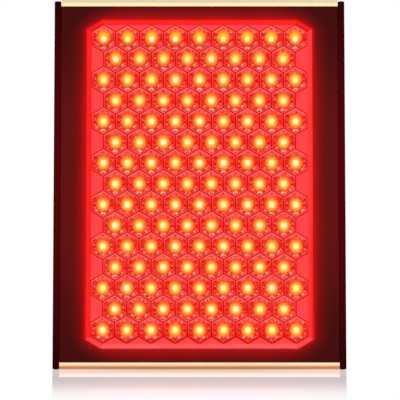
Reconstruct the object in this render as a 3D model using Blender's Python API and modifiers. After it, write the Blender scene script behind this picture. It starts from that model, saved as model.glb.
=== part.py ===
"""Red light therapy panel for a table top: a flat upright case with 128 hexagonal lenses.

The front faces -Y, +X is to the right and +Z is up. The origin is the middle of the
footprint, on the surface that the panel stands on. Dimensions are in millimetres and are
turned into metres by the helpers.
"""
import bpy
import bmesh
from math import pi, sin, cos, radians, sqrt
from mathutils import Matrix, Vector

MM = 0.001

# ---------------------------------------------------------------- driving dimensions (mm)
GAP = 0.3                      # clearance between touching pieces

WIDTH = 267.0                  # over the side rails
RAIL_HEIGHT = 338.0
RAIL_W = 6.0
RAIL_FRONT, RAIL_REAR = -28.5, 27.5
RAIL_WALL = 2.0
RAIL_CHANNEL = 32.0            # depth of the hollow in each rail, along Y
RAIL_END = 4.0                 # solid end of each rail

CAP_HALF = WIDTH / 2 - RAIL_W - GAP
CAP_H = 6.5
CAP_FRONT, CAP_REAR = -29.0, 27.5
CAP_WALL = 1.5
CAP_ROUND = 1.9                # outer front edge of each cap
CAP_EDGE = 0.6                 # its other long edges
TOP_CAP_Z = 332.9              # underside of the top cap, which stands 1.4 above the rails

TRAY_HALF = CAP_HALF           # front panel and rear cover, half width
TRAY_Z0, TRAY_Z1 = CAP_H + GAP, TOP_CAP_Z - GAP
PANEL_FRONT = -27.0
PANEL_T = 1.5
PANEL_FLANGE_END = -12.0
COVER_REAR = 26.5
COVER_T = 1.2
COVER_FLANGE_END = 12.0

# lens lattice: pointy-top hexagons whose flats touch
PITCH = 22.0                   # across the flats
ROWS = 15
WIDE_ROW, NARROW_ROW = 9, 8
LATTICE_Z = 169.0              # centre of the lens field
ROW_STEP = PITCH * sqrt(3) / 2
CELL_MOUTH = 20.6              # across the flats, at the front
CELL_FLOOR = 11.6
CELL_DEPTH = 5.6

# lens field outline: the flats of the outer cells, with the four corners cut at 30 degrees
FIELD_W = WIDE_ROW * PITCH / 2
FIELD_H = (ROWS - 1) / 2 * ROW_STEP + PITCH / sqrt(3)
RIM = 4.8                      # width of the bevelled rim
LENS_FRONT = -30.0
LENS_BACK = -22.1
FLANGE = 4.0                   # lens plate flange behind the panel
FLANGE_T = 2.0

CHIP = 3.6
CHIP_H = 1.5
BOARD_FRONT, BOARD_BACK = -19.0, -17.4
BOARD_W, BOARD_H = 104.0, 150.0
PAD_FRONT, PAD_BACK = -17.1, -16.4
SINK_FRONT, SINK_BASE, SINK_BACK = -16.1, -13.1, -1.0
SINK_W, SINK_H = 122.0, 155.0
FIN_COUNT, FIN_PITCH, FIN_T = 24, 9.0, 2.0

FAN_X, FAN_Z = 58.0, 215.0
FAN = 80.0                     # square frame
FAN_T0, FAN_T1 = 10.0, 25.0    # inner and outer face along Y
FAN_DUCT_R = 37.6
FAN_HOLE = 35.75               # screw holes, from the fan's centre
ROTOR_R = 36.0
HUB_R = 15.0
BLADES = 7
GUARD_Y0, GUARD_Y1 = 26.8, 28.2

INLET_X, INLET_Z = -80.0, 40.0
SWITCH_Z = 40.0
SWITCH_X = {"red": 60.0, "infrared": 88.0}
ROCKER_TILT = 8.0              # degrees either side of level
ROCKER_PIVOT_Y = 25.6
BEZEL_Y = 27.9

STANDOFF_X, STANDOFF_DZ = 114.0, 120.0
HANGER_X, HANGER_Z = 100.0, 312.0

# ---------------------------------------------------------------- clean scene, collections
for ob in list(bpy.data.objects):
    bpy.data.objects.remove(ob, do_unlink=True)

scene = bpy.context.scene
PARTS = bpy.data.collections.new("Red light therapy panel")
CUTTERS = bpy.data.collections.new("Cutters")
scene.collection.children.link(PARTS)
scene.collection.children.link(CUTTERS)


def material(name, rgb, roughness, metallic=0.0):
    mat = bpy.data.materials.new(name)
    mat.use_nodes = True
    bsdf = mat.node_tree.nodes["Principled BSDF"]
    bsdf.inputs["Base Color"].default_value = (*rgb, 1.0)
    bsdf.inputs["Roughness"].default_value = roughness
    bsdf.inputs["Metallic"].default_value = metallic
    mat.diffuse_color = (*rgb, 1.0)
    return mat


BLACK = material("black_paint", (0.012, 0.010, 0.011), 0.45)
RAIL = material("black_anodised", (0.015, 0.013, 0.014), 0.38, 0.6)
GOLD = material("champagne_anodised", (0.80, 0.56, 0.36), 0.32, 0.9)
LENS = material("red_lens", (0.85, 0.02, 0.02), 0.15)
SILICONE = material("silicone", (0.05, 0.05, 0.05), 0.8)
WHITE_BOARD = material("white_board", (0.82, 0.82, 0.80), 0.5)
THERMAL = material("thermal_pad", (0.45, 0.50, 0.55), 0.9)
ALUMINIUM = material("aluminium", (0.62, 0.63, 0.65), 0.4, 1.0)
GREEN_BOARD = material("green_board", (0.02, 0.16, 0.06), 0.5)
PLASTIC = material("black_plastic", (0.02, 0.02, 0.022), 0.5)
RED_PLASTIC = material("red_plastic", (0.55, 0.02, 0.02), 0.3)
STEEL = material("steel", (0.55, 0.55, 0.56), 0.3, 1.0)
BRASS = material("nickel_plated_brass", (0.70, 0.66, 0.56), 0.3, 1.0)
WIRE = material("wire_insulation", (0.08, 0.08, 0.09), 0.55)


# ---------------------------------------------------------------- helpers
def add(name, mesh, mat=None, cutter=False):
    ob = bpy.data.objects.new(name, mesh)
    if cutter:
        CUTTERS.objects.link(ob)
        ob.hide_render = True
        ob.display_type = "WIRE"
    else:
        PARTS.objects.link(ob)
    if mat is not None:
        mesh.materials.append(mat)
    return ob


def block(name, lo, hi, mat=None, bevel=0.0, segments=2, cutter=False):
    """A box from its lowest to its highest corner, with rounded edges if bevel is given."""
    lo, hi = Vector(lo) * MM, Vector(hi) * MM
    mesh = bpy.data.meshes.new(name)
    bm = bmesh.new()
    bmesh.ops.create_cube(bm, size=1.0)
    bmesh.ops.scale(bm, vec=hi - lo, verts=bm.verts)
    bm.to_mesh(mesh)
    bm.free()
    ob = add(name, mesh, mat, cutter)
    ob.location = (lo + hi) / 2
    if bevel:
        mod = ob.modifiers.new("Round edges", "BEVEL")
        mod.width = bevel * MM
        mod.segments = segments
        mod.limit_method = "ANGLE"
        mod.harden_normals = False
    return ob


def tray(name, lo, hi, open_face, thickness, mat):
    """A sheet-metal tray: an open box with Solidify, open towards open_face (+1 or -1 in Y)."""
    lo, hi = Vector(lo) * MM, Vector(hi) * MM
    mesh = bpy.data.meshes.new(name)
    bm = bmesh.new()
    bmesh.ops.create_cube(bm, size=1.0)
    bmesh.ops.scale(bm, vec=hi - lo, verts=bm.verts)
    gone = [f for f in bm.faces if f.normal.y * open_face > 0.9]
    bmesh.ops.delete(bm, geom=gone, context="FACES_ONLY")
    bm.to_mesh(mesh)
    bm.free()
    ob = add(name, mesh, mat)
    ob.location = (lo + hi) / 2
    mod = ob.modifiers.new("Sheet", "SOLIDIFY")
    mod.thickness = thickness * MM
    mod.offset = -1.0
    mod.use_even_offset = True
    return ob


def cylinder(name, radius, start, end, mat=None, sides=24, cutter=False):
    """A cylinder between two points."""
    a, b = Vector(start) * MM, Vector(end) * MM
    mesh = bpy.data.meshes.new(name)
    bm = bmesh.new()
    bmesh.ops.create_cone(bm, cap_ends=True, segments=sides, radius1=radius * MM,
                          radius2=radius * MM, depth=(b - a).length)
    bm.to_mesh(mesh)
    bm.free()
    ob = add(name, mesh, mat, cutter)
    ob.location = (a + b) / 2
    ob.rotation_euler = (b - a).to_track_quat("Z", "Y").to_euler()
    return ob


def group(name, shapes):
    """One cutter made of many primitives. Each shape is (kind, matrix in mm, size...)."""
    mesh = bpy.data.meshes.new(name)
    bm = bmesh.new()
    for kind, matrix, *size in shapes:
        if kind == "box":
            made = bmesh.ops.create_cube(bm, size=1.0)
            bmesh.ops.scale(bm, vec=Vector(size[0]), verts=made["verts"])
        else:
            made = bmesh.ops.create_cone(bm, cap_ends=True, segments=size[3], radius1=size[0],
                                         radius2=size[1], depth=size[2])
        bmesh.ops.transform(bm, matrix=matrix, verts=made["verts"])
    bmesh.ops.scale(bm, vec=(MM, MM, MM), verts=bm.verts)
    bm.to_mesh(mesh)
    bm.free()
    return add(name, mesh, cutter=True)


def outline(name, points, y_front, y_back, mat=None, cutter=False):
    """A flat outline in X and Z (mm), as a filled 2D curve, made a mesh between two Y planes."""
    curve = bpy.data.curves.new(name, "CURVE")
    curve.dimensions = "2D"
    curve.fill_mode = "BOTH"
    curve.extrude = (y_back - y_front) / 2 * MM
    spline = curve.splines.new("POLY")
    spline.points.add(len(points) - 1)
    for point, (x, z) in zip(spline.points, points):
        point.co = (x * MM, z * MM, 0.0, 1.0)
    spline.use_cyclic_u = True
    drawn = bpy.data.objects.new(name + "_outline", curve)
    CUTTERS.objects.link(drawn)
    drawn.rotation_euler = (pi / 2, 0.0, 0.0)
    drawn.location = (0.0, (y_front + y_back) / 2 * MM, 0.0)
    return solid_from_curve(name, drawn, mat, cutter)


def profile_bar(name, points, z0, z1, mat=None, cutter=False):
    """A flat outline in X and Y (mm), extruded from z0 to z1."""
    curve = bpy.data.curves.new(name, "CURVE")
    curve.dimensions = "2D"
    curve.fill_mode = "BOTH"
    curve.extrude = (z1 - z0) / 2 * MM
    spline = curve.splines.new("POLY")
    spline.points.add(len(points) - 1)
    for point, (x, y) in zip(spline.points, points):
        point.co = (x * MM, y * MM, 0.0, 1.0)
    spline.use_cyclic_u = True
    drawn = bpy.data.objects.new(name + "_outline", curve)
    CUTTERS.objects.link(drawn)
    drawn.location = (0.0, 0.0, (z0 + z1) / 2 * MM)
    return solid_from_curve(name, drawn, mat, cutter)


def bar_along_x(name, points, half, mat=None, cutter=False):
    """A flat outline in Y and Z (mm), extruded along X from -half to half."""
    curve = bpy.data.curves.new(name, "CURVE")
    curve.dimensions = "2D"
    curve.fill_mode = "BOTH"
    curve.extrude = half * MM
    spline = curve.splines.new("POLY")
    spline.points.add(len(points) - 1)
    for point, (y, z) in zip(spline.points, points):
        point.co = (y * MM, z * MM, 0.0, 1.0)
    spline.use_cyclic_u = True
    drawn = bpy.data.objects.new(name + "_outline", curve)
    CUTTERS.objects.link(drawn)
    # local X to +Y, local Y to +Z, local Z to +X
    drawn.matrix_world = Matrix(((0, 0, 1, 0), (1, 0, 0, 0), (0, 1, 0, 0), (0, 0, 0, 1)))
    return solid_from_curve(name, drawn, mat, cutter)


def cap_outline(z0, outer):
    """An end cap's outline in Y and Z. outer is +1 for the top cap, whose outer edge is its
    upper one, and -1 for the bottom cap."""
    lo, hi = z0, z0 + CAP_H

    def corner(y, z, into_y, into_z, radius, steps):
        arc = []
        for k in range(steps + 1):
            a = k / steps * pi / 2
            arc.append((y + into_y * radius * (1 - cos(a)), z + into_z * radius * (1 - sin(a))))
        return arc

    round_hi, round_lo = (CAP_ROUND, CAP_EDGE) if outer > 0 else (CAP_EDGE, CAP_ROUND)
    return (corner(CAP_REAR, lo, -1, 1, CAP_EDGE, 1)[::-1]
            + corner(CAP_REAR, hi, -1, -1, CAP_EDGE, 1)
            + corner(CAP_FRONT, hi, 1, -1, round_hi, 5 if outer > 0 else 2)[::-1]
            + corner(CAP_FRONT, lo, 1, 1, round_lo, 2 if outer > 0 else 5))


def solid_from_curve(name, drawn, mat, cutter):
    """Turns a filled curve into a welded mesh object and removes the curve."""
    bpy.context.view_layer.update()
    deps = bpy.context.evaluated_depsgraph_get()
    mesh = bpy.data.meshes.new_from_object(drawn.evaluated_get(deps))
    mesh.name = name
    matrix = drawn.matrix_world.copy()
    data = drawn.data
    bpy.data.objects.remove(drawn, do_unlink=True)
    bpy.data.curves.remove(data)
    bm = bmesh.new()
    bm.from_mesh(mesh)
    bmesh.ops.remove_doubles(bm, verts=bm.verts, dist=0.00001)
    bmesh.ops.dissolve_limit(bm, angle_limit=radians(0.5), verts=bm.verts, edges=bm.edges)
    bmesh.ops.recalc_face_normals(bm, faces=bm.faces)
    bm.to_mesh(mesh)
    bm.free()
    mesh.materials.clear()
    ob = add(name, mesh, mat, cutter)
    ob.matrix_world = matrix
    return ob


def turned(name, profile, location, axis, mat=None, steps=12, cutter=False):
    """A turned solid. profile is (radius, height) in mm from the top of the axis, down the
    outer side, to the bottom of the axis; heights run along axis, one of '+Y', '-Y', '+X',
    '-X', '+Z' or '-Z'."""
    mesh = bpy.data.meshes.new(name)
    bm = bmesh.new()
    verts = [bm.verts.new((r * MM, 0.0, h * MM)) for r, h in profile]
    for a, b in zip(verts, verts[1:]):
        bm.edges.new((a, b))
    bm.to_mesh(mesh)
    bm.free()
    ob = add(name, mesh, mat, cutter)
    ob.location = Vector(location) * MM
    way = {"X": Vector((1, 0, 0)), "Y": Vector((0, 1, 0)), "Z": Vector((0, 0, 1))}[axis[1]]
    if axis[0] == "-":
        way = -way
    ob.rotation_euler = way.to_track_quat("Z", "Y").to_euler()
    mod = ob.modifiers.new("Turn", "SCREW")
    mod.axis = "Z"
    mod.angle = 2 * pi
    mod.steps = steps
    mod.render_steps = steps
    mod.use_merge_vertices = True
    mod.merge_threshold = 0.00001
    mod.use_smooth_shade = False
    return ob


def smooth_route(points, per_span):
    """Points on a smooth curve through the route's own points (Catmull-Rom)."""
    pts = [Vector(p) for p in points]
    pts = [2 * pts[0] - pts[1]] + pts + [2 * pts[-1] - pts[-2]]
    out = []
    for i in range(1, len(pts) - 2):
        a, b, c, d = pts[i - 1:i + 3]
        for k in range(per_span):
            t = k / per_span
            out.append(0.5 * ((2 * b) + (c - a) * t + (2 * a - 5 * b + 4 * c - d) * t * t
                              + (3 * b - 3 * c + d - a) * t ** 3))
    out.append(pts[-2])
    return out


def wire(name, route, radius, mat, per_span=3):
    """A lead inside the case: a POLY curve with a round bevel and filled caps."""
    curve = bpy.data.curves.new(name, "CURVE")
    curve.dimensions = "3D"
    curve.bevel_depth = radius * MM
    curve.bevel_resolution = 1
    curve.use_fill_caps = True
    points = smooth_route(route, per_span)
    spline = curve.splines.new("POLY")
    spline.points.add(len(points) - 1)
    for point, co in zip(spline.points, points):
        point.co = (*(co * MM), 1.0)
    ob = bpy.data.objects.new(name, curve)
    PARTS.objects.link(ob)
    curve.materials.append(mat)
    return ob


def boolean(ob, other, operation):
    mod = ob.modifiers.new(operation.title(), "BOOLEAN")
    mod.operation = operation
    mod.solver = "EXACT"
    mod.object = other
    return ob


def cut(ob, *others):
    for other in others:
        boolean(ob, other, "DIFFERENCE")
    return ob


def join(ob, *others):
    for other in others:
        boolean(ob, other, "UNION")
    return ob


def at(x, y, z):
    return Matrix.Translation((x, y, z))


ALONG_Y = Matrix.Rotation(pi / 2, 4, "X")      # local Z to -Y, local Y to +Z
ALONG_X = Matrix.Rotation(pi / 2, 4, "Y")


def field_outline(offset):
    """The lens field's outline, moved out by offset: eight corners in X and Z, about the
    lattice centre. The corner cuts lie along the outer cells' upper and lower edges."""
    w, h = FIELD_W + offset, FIELD_H + offset
    row_x = (WIDE_ROW - 1) / 2 * PITCH
    row_z = (ROWS - 1) / 2 * ROW_STEP
    d = 0.5 * row_x + sqrt(3) / 2 * row_z + PITCH / 2 + offset
    z_side = (d - 0.5 * w) / (sqrt(3) / 2)
    x_top = (d - sqrt(3) / 2 * h) / 0.5
    quarter = [(w, z_side), (x_top, h)]
    mirrored = [(-x, z) for x, z in reversed(quarter)]
    upper = quarter + mirrored
    lower = [(-x, -z) for x, z in upper]
    return [(x, z + LATTICE_Z) for x, z in upper + lower]


def cells():
    """Centres of the lens cells in X and Z, row by row from the top."""
    for row in range(ROWS):
        count = WIDE_ROW if row % 2 == 0 else NARROW_ROW
        z = LATTICE_Z + ((ROWS - 1) / 2 - row) * ROW_STEP
        for k in range(count):
            yield (k - (count - 1) / 2) * PITCH, z


# ---------------------------------------------------------------- case
# side screws: in line through the rail and the tray flanges
SIDE_SCREWS = [("front_lower", -20.5, 30.0), ("front_upper", -20.5, 308.0),
               ("rear_lower", 20.0, 30.0), ("rear_upper", 20.0, 308.0)]
CAP_SCREW_X, CAP_SCREW_Y = 108.0, 18.5

for side, s in (("left", -1), ("right", 1)):
    inner, outer = s * (WIDTH / 2 - RAIL_W), s * WIDTH / 2
    rail = block("side_rail_" + side, (min(inner, outer), RAIL_FRONT, 0.0),
                 (max(inner, outer), RAIL_REAR, RAIL_HEIGHT), RAIL, bevel=1.2, segments=2)
    wall = s * (WIDTH / 2 - RAIL_WALL)
    hollow = block("hollow_" + side, (min(inner - s * 1.0, wall), -RAIL_CHANNEL / 2, RAIL_END),
                   (max(inner - s * 1.0, wall), RAIL_CHANNEL / 2, RAIL_HEIGHT - RAIL_END),
                   cutter=True)
    shanks = [("cone", at(s * 130.0, y, z) @ ALONG_X, 1.8, 1.8, 12.0, 8)
              for _, y, z in SIDE_SCREWS]
    sinks = [("cone", at(s * 132.8, y, z) @ Matrix.Rotation(s * pi / 2, 4, "Y"),
              1.8, 4.0, 2.2, 10) for _, y, z in SIDE_SCREWS]
    cut(rail, hollow, group("side_screw_holes_" + side, shanks),
        group("side_countersinks_" + side, sinks))

for end, z0 in (("top", TOP_CAP_Z), ("bottom", 0.0)):
    cap = bar_along_x(end + "_end_cap", cap_outline(z0, 1 if end == "top" else -1), CAP_HALF,
                      GOLD)
    if end == "top":
        lo, hi = z0 - 1.0, z0 + CAP_H - CAP_WALL
    else:
        lo, hi = CAP_WALL, CAP_H + 1.0
    pocket = block(end + "_cap_pocket", (-CAP_HALF + CAP_WALL, CAP_FRONT + CAP_WALL, lo),
                   (CAP_HALF - CAP_WALL, CAP_REAR - CAP_WALL, hi), cutter=True)
    out = 1.0 if end == "top" else -1.0
    face = z0 + CAP_H if end == "top" else 0.0
    holes = [("cone", at(x, CAP_SCREW_Y, z0 + CAP_H / 2), 1.8, 1.8, 12.0, 8)
             for x in (-CAP_SCREW_X, CAP_SCREW_X)]
    sinks = [("cone", at(x, CAP_SCREW_Y, face - out * 0.7)
              @ Matrix.Rotation(0.0 if end == "top" else pi, 4, "X"), 1.8, 4.0, 2.2, 10)
             for x in (-CAP_SCREW_X, CAP_SCREW_X)]
    if end == "top":
        holes += [("box", at((k - 8) * 12.0, 0.0, z0 + CAP_H), (3.6, 18.0, 6.0))
                  for k in range(17)]
    cut(cap, pocket, group(end + "_cap_holes", holes), group(end + "_countersinks", sinks))

front_panel = tray("front_panel", (-TRAY_HALF, PANEL_FRONT, TRAY_Z0),
                   (TRAY_HALF, PANEL_FLANGE_END, TRAY_Z1), 1, PANEL_T, BLACK)
window = outline("window", field_outline(RIM + 0.4), PANEL_FRONT - 2.0, PANEL_FRONT + 4.0,
                 cutter=True)
panel_holes = [("cone", at(s * TRAY_HALF, -20.5, z) @ ALONG_X, 1.8, 1.8, 6.0, 8)
               for s in (-1, 1) for z in (30.0, 308.0)]
cut(front_panel, window, group("panel_holes", panel_holes))

rear_cover = tray("rear_cover", (-TRAY_HALF, COVER_FLANGE_END, TRAY_Z0),
                  (TRAY_HALF, COVER_REAR, TRAY_Z1), -1, COVER_T, BLACK)
through = 8.0
plate_y = COVER_REAR - COVER_T / 2
cover_cuts = []
for s in (-1, 1):
    cover_cuts.append(("cone", at(s * FAN_X, plate_y, FAN_Z) @ ALONG_Y, 37.5, 37.5, through, 28))
    for dx in (-FAN_HOLE, FAN_HOLE):
        for dz in (-FAN_HOLE, FAN_HOLE):
            cover_cuts.append(("cone", at(s * FAN_X + dx, plate_y, FAN_Z + dz) @ ALONG_Y,
                               2.0, 2.0, through, 6))
    cover_cuts.append(("cone", at(s * HANGER_X, plate_y, HANGER_Z) @ ALONG_Y,
                       3.4, 3.4, through, 10))
    for z in (30.0, 308.0):
        cover_cuts.append(("cone", at(s * TRAY_HALF, 20.0, z) @ ALONG_X, 1.8, 1.8, 6.0, 8))
    for z in (TRAY_Z0, TRAY_Z1):
        cover_cuts.append(("cone", at(s * CAP_SCREW_X, CAP_SCREW_Y, z), 1.8, 1.8, 6.0, 8))
    cover_cuts.append(("cone", at(INLET_X + s * 20.0, plate_y, INLET_Z) @ ALONG_Y,
                       1.9, 1.9, through, 8))
cover_cuts.append(("box", at(INLET_X, plate_y, INLET_Z), (28.2, through, 20.8)))
for x in SWITCH_X.values():
    cover_cuts.append(("box", at(x, plate_y, SWITCH_Z), (13.6, through, 19.6)))
for k in range(13):
    cover_cuts.append(("box", at((k - 6) * 11.0, plate_y, 288.0), (3.4, through, 26.0)))
for k in range(5):
    cover_cuts.append(("box", at((k - 2) * 11.0, plate_y, 40.0), (3.4, through, 26.0)))
cut(rear_cover, group("cover_cuts", cover_cuts))

# ---------------------------------------------------------------- lens plate and its seal
lens_plate = outline("lens_plate", field_outline(RIM), PANEL_FRONT, LENS_BACK - 1.0, LENS)
bm = bmesh.new()
bm.from_mesh(lens_plate.data)
# local +Z is the front: inset the front face and lift it, which leaves the bevelled rim
front_face = max(bm.faces, key=lambda f: f.calc_center_median().z)
bmesh.ops.inset_region(bm, faces=[front_face], thickness=RIM * MM,
                       depth=(PANEL_FRONT - LENS_FRONT) * MM, use_even_offset=True)
bm.to_mesh(lens_plate.data)
bm.free()
flange = outline("lens_flange", field_outline(RIM + FLANGE), LENS_BACK - FLANGE_T, LENS_BACK,
                 cutter=True)
join(lens_plate, flange)
mouth_r, floor_r = CELL_MOUTH / sqrt(3), CELL_FLOOR / sqrt(3)
grow = (mouth_r - floor_r) / CELL_DEPTH
pockets = [("cone", at(x, LENS_FRONT + (CELL_DEPTH - 1.0) / 2, z) @ ALONG_Y,
            floor_r, mouth_r + grow, CELL_DEPTH + 1.0, 6) for x, z in cells()]
cut(lens_plate, group("lens_pockets", pockets))

lens_gasket = outline("lens_gasket", field_outline(RIM + FLANGE), -25.2, -24.4, SILICONE)
cut(lens_gasket, outline("gasket_inside", field_outline(RIM + 0.9), -27.0, -22.0, cutter=True))

# ---------------------------------------------------------------- light engine
led_board = block("led_board", (-BOARD_W, BOARD_FRONT, LATTICE_Z - BOARD_H),
                  (BOARD_W, BOARD_BACK, LATTICE_Z + BOARD_H), WHITE_BOARD)
chips = [("box", at(x, BOARD_FRONT - CHIP_H / 2 + 0.2, z), (CHIP, CHIP_H + 0.4, CHIP))
         for x, z in cells()]
join(led_board, group("led_chips", chips))

thermal_pad = block("thermal_pad", (-102.0, PAD_FRONT, LATTICE_Z - 148.0),
                    (102.0, PAD_BACK, LATTICE_Z + 148.0), THERMAL)

comb = [(-SINK_W, SINK_FRONT), (SINK_W, SINK_FRONT), (SINK_W, SINK_BASE)]
for k in reversed(range(FIN_COUNT)):
    x = (k - (FIN_COUNT - 1) / 2) * FIN_PITCH
    comb += [(x + FIN_T / 2, SINK_BASE), (x + FIN_T / 2, SINK_BACK),
             (x - FIN_T / 2, SINK_BACK), (x - FIN_T / 2, SINK_BASE)]
comb.append((-SINK_W, SINK_BASE))
heat_sink = profile_bar("heat_sink", comb, LATTICE_Z - SINK_H, LATTICE_Z + SINK_H, ALUMINIUM)

for side, s in (("left", -1), ("right", 1)):
    for level, dz in (("lower", -STANDOFF_DZ), ("upper", STANDOFF_DZ)):
        cylinder("standoff_%s_%s" % (level, side), 3.0,
                 (s * STANDOFF_X, PANEL_FRONT + PANEL_T + GAP, LATTICE_Z + dz),
                 (s * STANDOFF_X, SINK_FRONT - GAP, LATTICE_Z + dz), STEEL, sides=12)

# LED drivers: a board on four legs with its transformer, capacitors, coil and terminals
for kind, x0 in (("red", 8.0), ("infrared", -112.0)):
    z0 = 78.0
    board = block("led_driver_" + kind, (x0, 20.4, z0), (x0 + 104.0, 22.0, z0 + 70.0),
                  GREEN_BOARD)
    legs = [("cone", at(x0 + dx, 23.4, z0 + dz) @ ALONG_Y, 2.5, 2.5, 3.2, 8)
            for dx in (6.0, 98.0) for dz in (6.0, 64.0)]
    fitted = [("box", at(x0 + 52.0, 14.5, z0 + 35.0), (26.0, 12.6, 22.0)),
              ("box", at(x0 + 26.0, 16.0, z0 + 18.0), (18.0, 9.6, 14.0)),
              ("cone", at(x0 + 24.0, 13.0, z0 + 46.0) @ ALONG_Y, 8.0, 8.0, 15.6, 12),
              ("cone", at(x0 + 80.0, 14.0, z0 + 46.0) @ ALONG_Y, 6.5, 6.5, 13.6, 12),
              ("cone", at(x0 + 84.0, 15.0, z0 + 24.0) @ ALONG_Y, 5.0, 5.0, 11.6, 12),
              ("box", at(x0 + 96.0, 16.5, z0 + 36.0), (8.0, 8.6, 20.0))]
    join(board, group("driver_fittings_" + kind, legs + fitted))

# ---------------------------------------------------------------- mains inlet
inlet = block("power_inlet", (INLET_X - 25.0, COVER_REAR + GAP, INLET_Z - 11.2),
              (INLET_X + 25.0, 29.0, INLET_Z + 11.2), PLASTIC, bevel=0.6, segments=1)
housing = block("inlet_housing", (INLET_X - 13.75, 8.0, INLET_Z - 10.0),
                (INLET_X + 13.75, 28.0, INLET_Z + 10.0), cutter=True)
socket_w, socket_h, socket_cut = 12.1, 8.3, 4.0
socket = outline("inlet_socket", [(INLET_X + x, INLET_Z + z) for x, z in (
    (socket_w, -socket_h), (socket_w, socket_h - socket_cut), (socket_w - socket_cut, socket_h),
    (-socket_w + socket_cut, socket_h), (-socket_w, socket_h - socket_cut),
    (-socket_w, -socket_h))], 12.0, 31.0, cutter=True)
ear_holes = group("inlet_ear_holes", [("cone", at(INLET_X + s * 20.0, 28.0, INLET_Z) @ ALONG_Y,
                                       1.9, 1.9, 6.0, 8) for s in (-1, 1)])
join(inlet, housing)
cut(inlet, socket, ear_holes)
for pin, dx, dz in (("line", -7.0, -2.0), ("neutral", 7.0, -2.0), ("earth", 0.0, 2.0)):
    block("inlet_pin_" + pin, (INLET_X + dx - 1.0, 12.3, INLET_Z + dz - 2.0),
          (INLET_X + dx + 1.0, 24.5, INLET_Z + dz + 2.0), BRASS, bevel=0.4, segments=1)

# ---------------------------------------------------------------- rocker switches
for kind, x in SWITCH_X.items():
    body = block("switch_body_" + kind, (x - 7.5, COVER_REAR + GAP, SWITCH_Z - 10.5),
                 (x + 7.5, BEZEL_Y, SWITCH_Z + 10.5), PLASTIC, bevel=0.4, segments=1)
    case = block("switch_case_" + kind, (x - 6.4, 8.0, SWITCH_Z - 9.6),
                 (x + 6.4, 27.4, SWITCH_Z + 9.6), cutter=True)
    well = block("switch_well_" + kind, (x - 5.2, 15.0, SWITCH_Z - 8.9),
                 (x + 5.2, 31.0, SWITCH_Z + 8.9), cutter=True)
    bore = group("switch_bore_" + kind,
                 [("cone", at(x, ROCKER_PIVOT_Y, SWITCH_Z) @ ALONG_X, 1.35, 1.35, 11.9, 12)])
    join(body, case)
    cut(body, well, bore)
    # the rocker hangs on its own empty, whose origin is on the pivot
    pivot = bpy.data.objects.new("pivot_" + kind, None)
    PARTS.objects.link(pivot)
    pivot.location = Vector((x, ROCKER_PIVOT_Y, SWITCH_Z)) * MM
    pivot.rotation_euler = (radians(ROCKER_TILT), 0.0, 0.0)
    top = 8.0
    side_view = [(-top, 3.3), (0.0, 1.9), (top, 3.3), (top - 0.6, -1.5), (4.0, -6.0),
                 (-4.0, -6.0), (-top + 0.6, -1.5)]
    curve = bpy.data.curves.new("rocker_" + kind, "CURVE")
    curve.dimensions = "2D"
    curve.fill_mode = "BOTH"
    curve.extrude = 4.9 * MM
    spline = curve.splines.new("POLY")
    spline.points.add(len(side_view) - 1)
    for point, (z, y) in zip(spline.points, side_view):
        point.co = (y * MM, z * MM, 0.0, 1.0)
    spline.use_cyclic_u = True
    drawn = bpy.data.objects.new("rocker_outline", curve)
    CUTTERS.objects.link(drawn)
    # local X to +Y, local Y to +Z, local Z to +X
    drawn.matrix_world = Matrix(((0, 0, 1, 0), (1, 0, 0, 0), (0, 1, 0, 0), (0, 0, 0, 1)))
    rocker = solid_from_curve("rocker_" + kind, drawn, RED_PLASTIC if kind == "red" else PLASTIC,
                              False)
    rocker.data.transform(rocker.matrix_world)
    rocker.matrix_world = Matrix.Identity(4)
    rocker.parent = pivot
    trunnion = cylinder("trunnion_" + kind, 1.05, (-5.8, 0.0, 0.0), (5.8, 0.0, 0.0), sides=12,
                        cutter=True)
    trunnion.parent = pivot
    join(rocker, trunnion)

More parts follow.
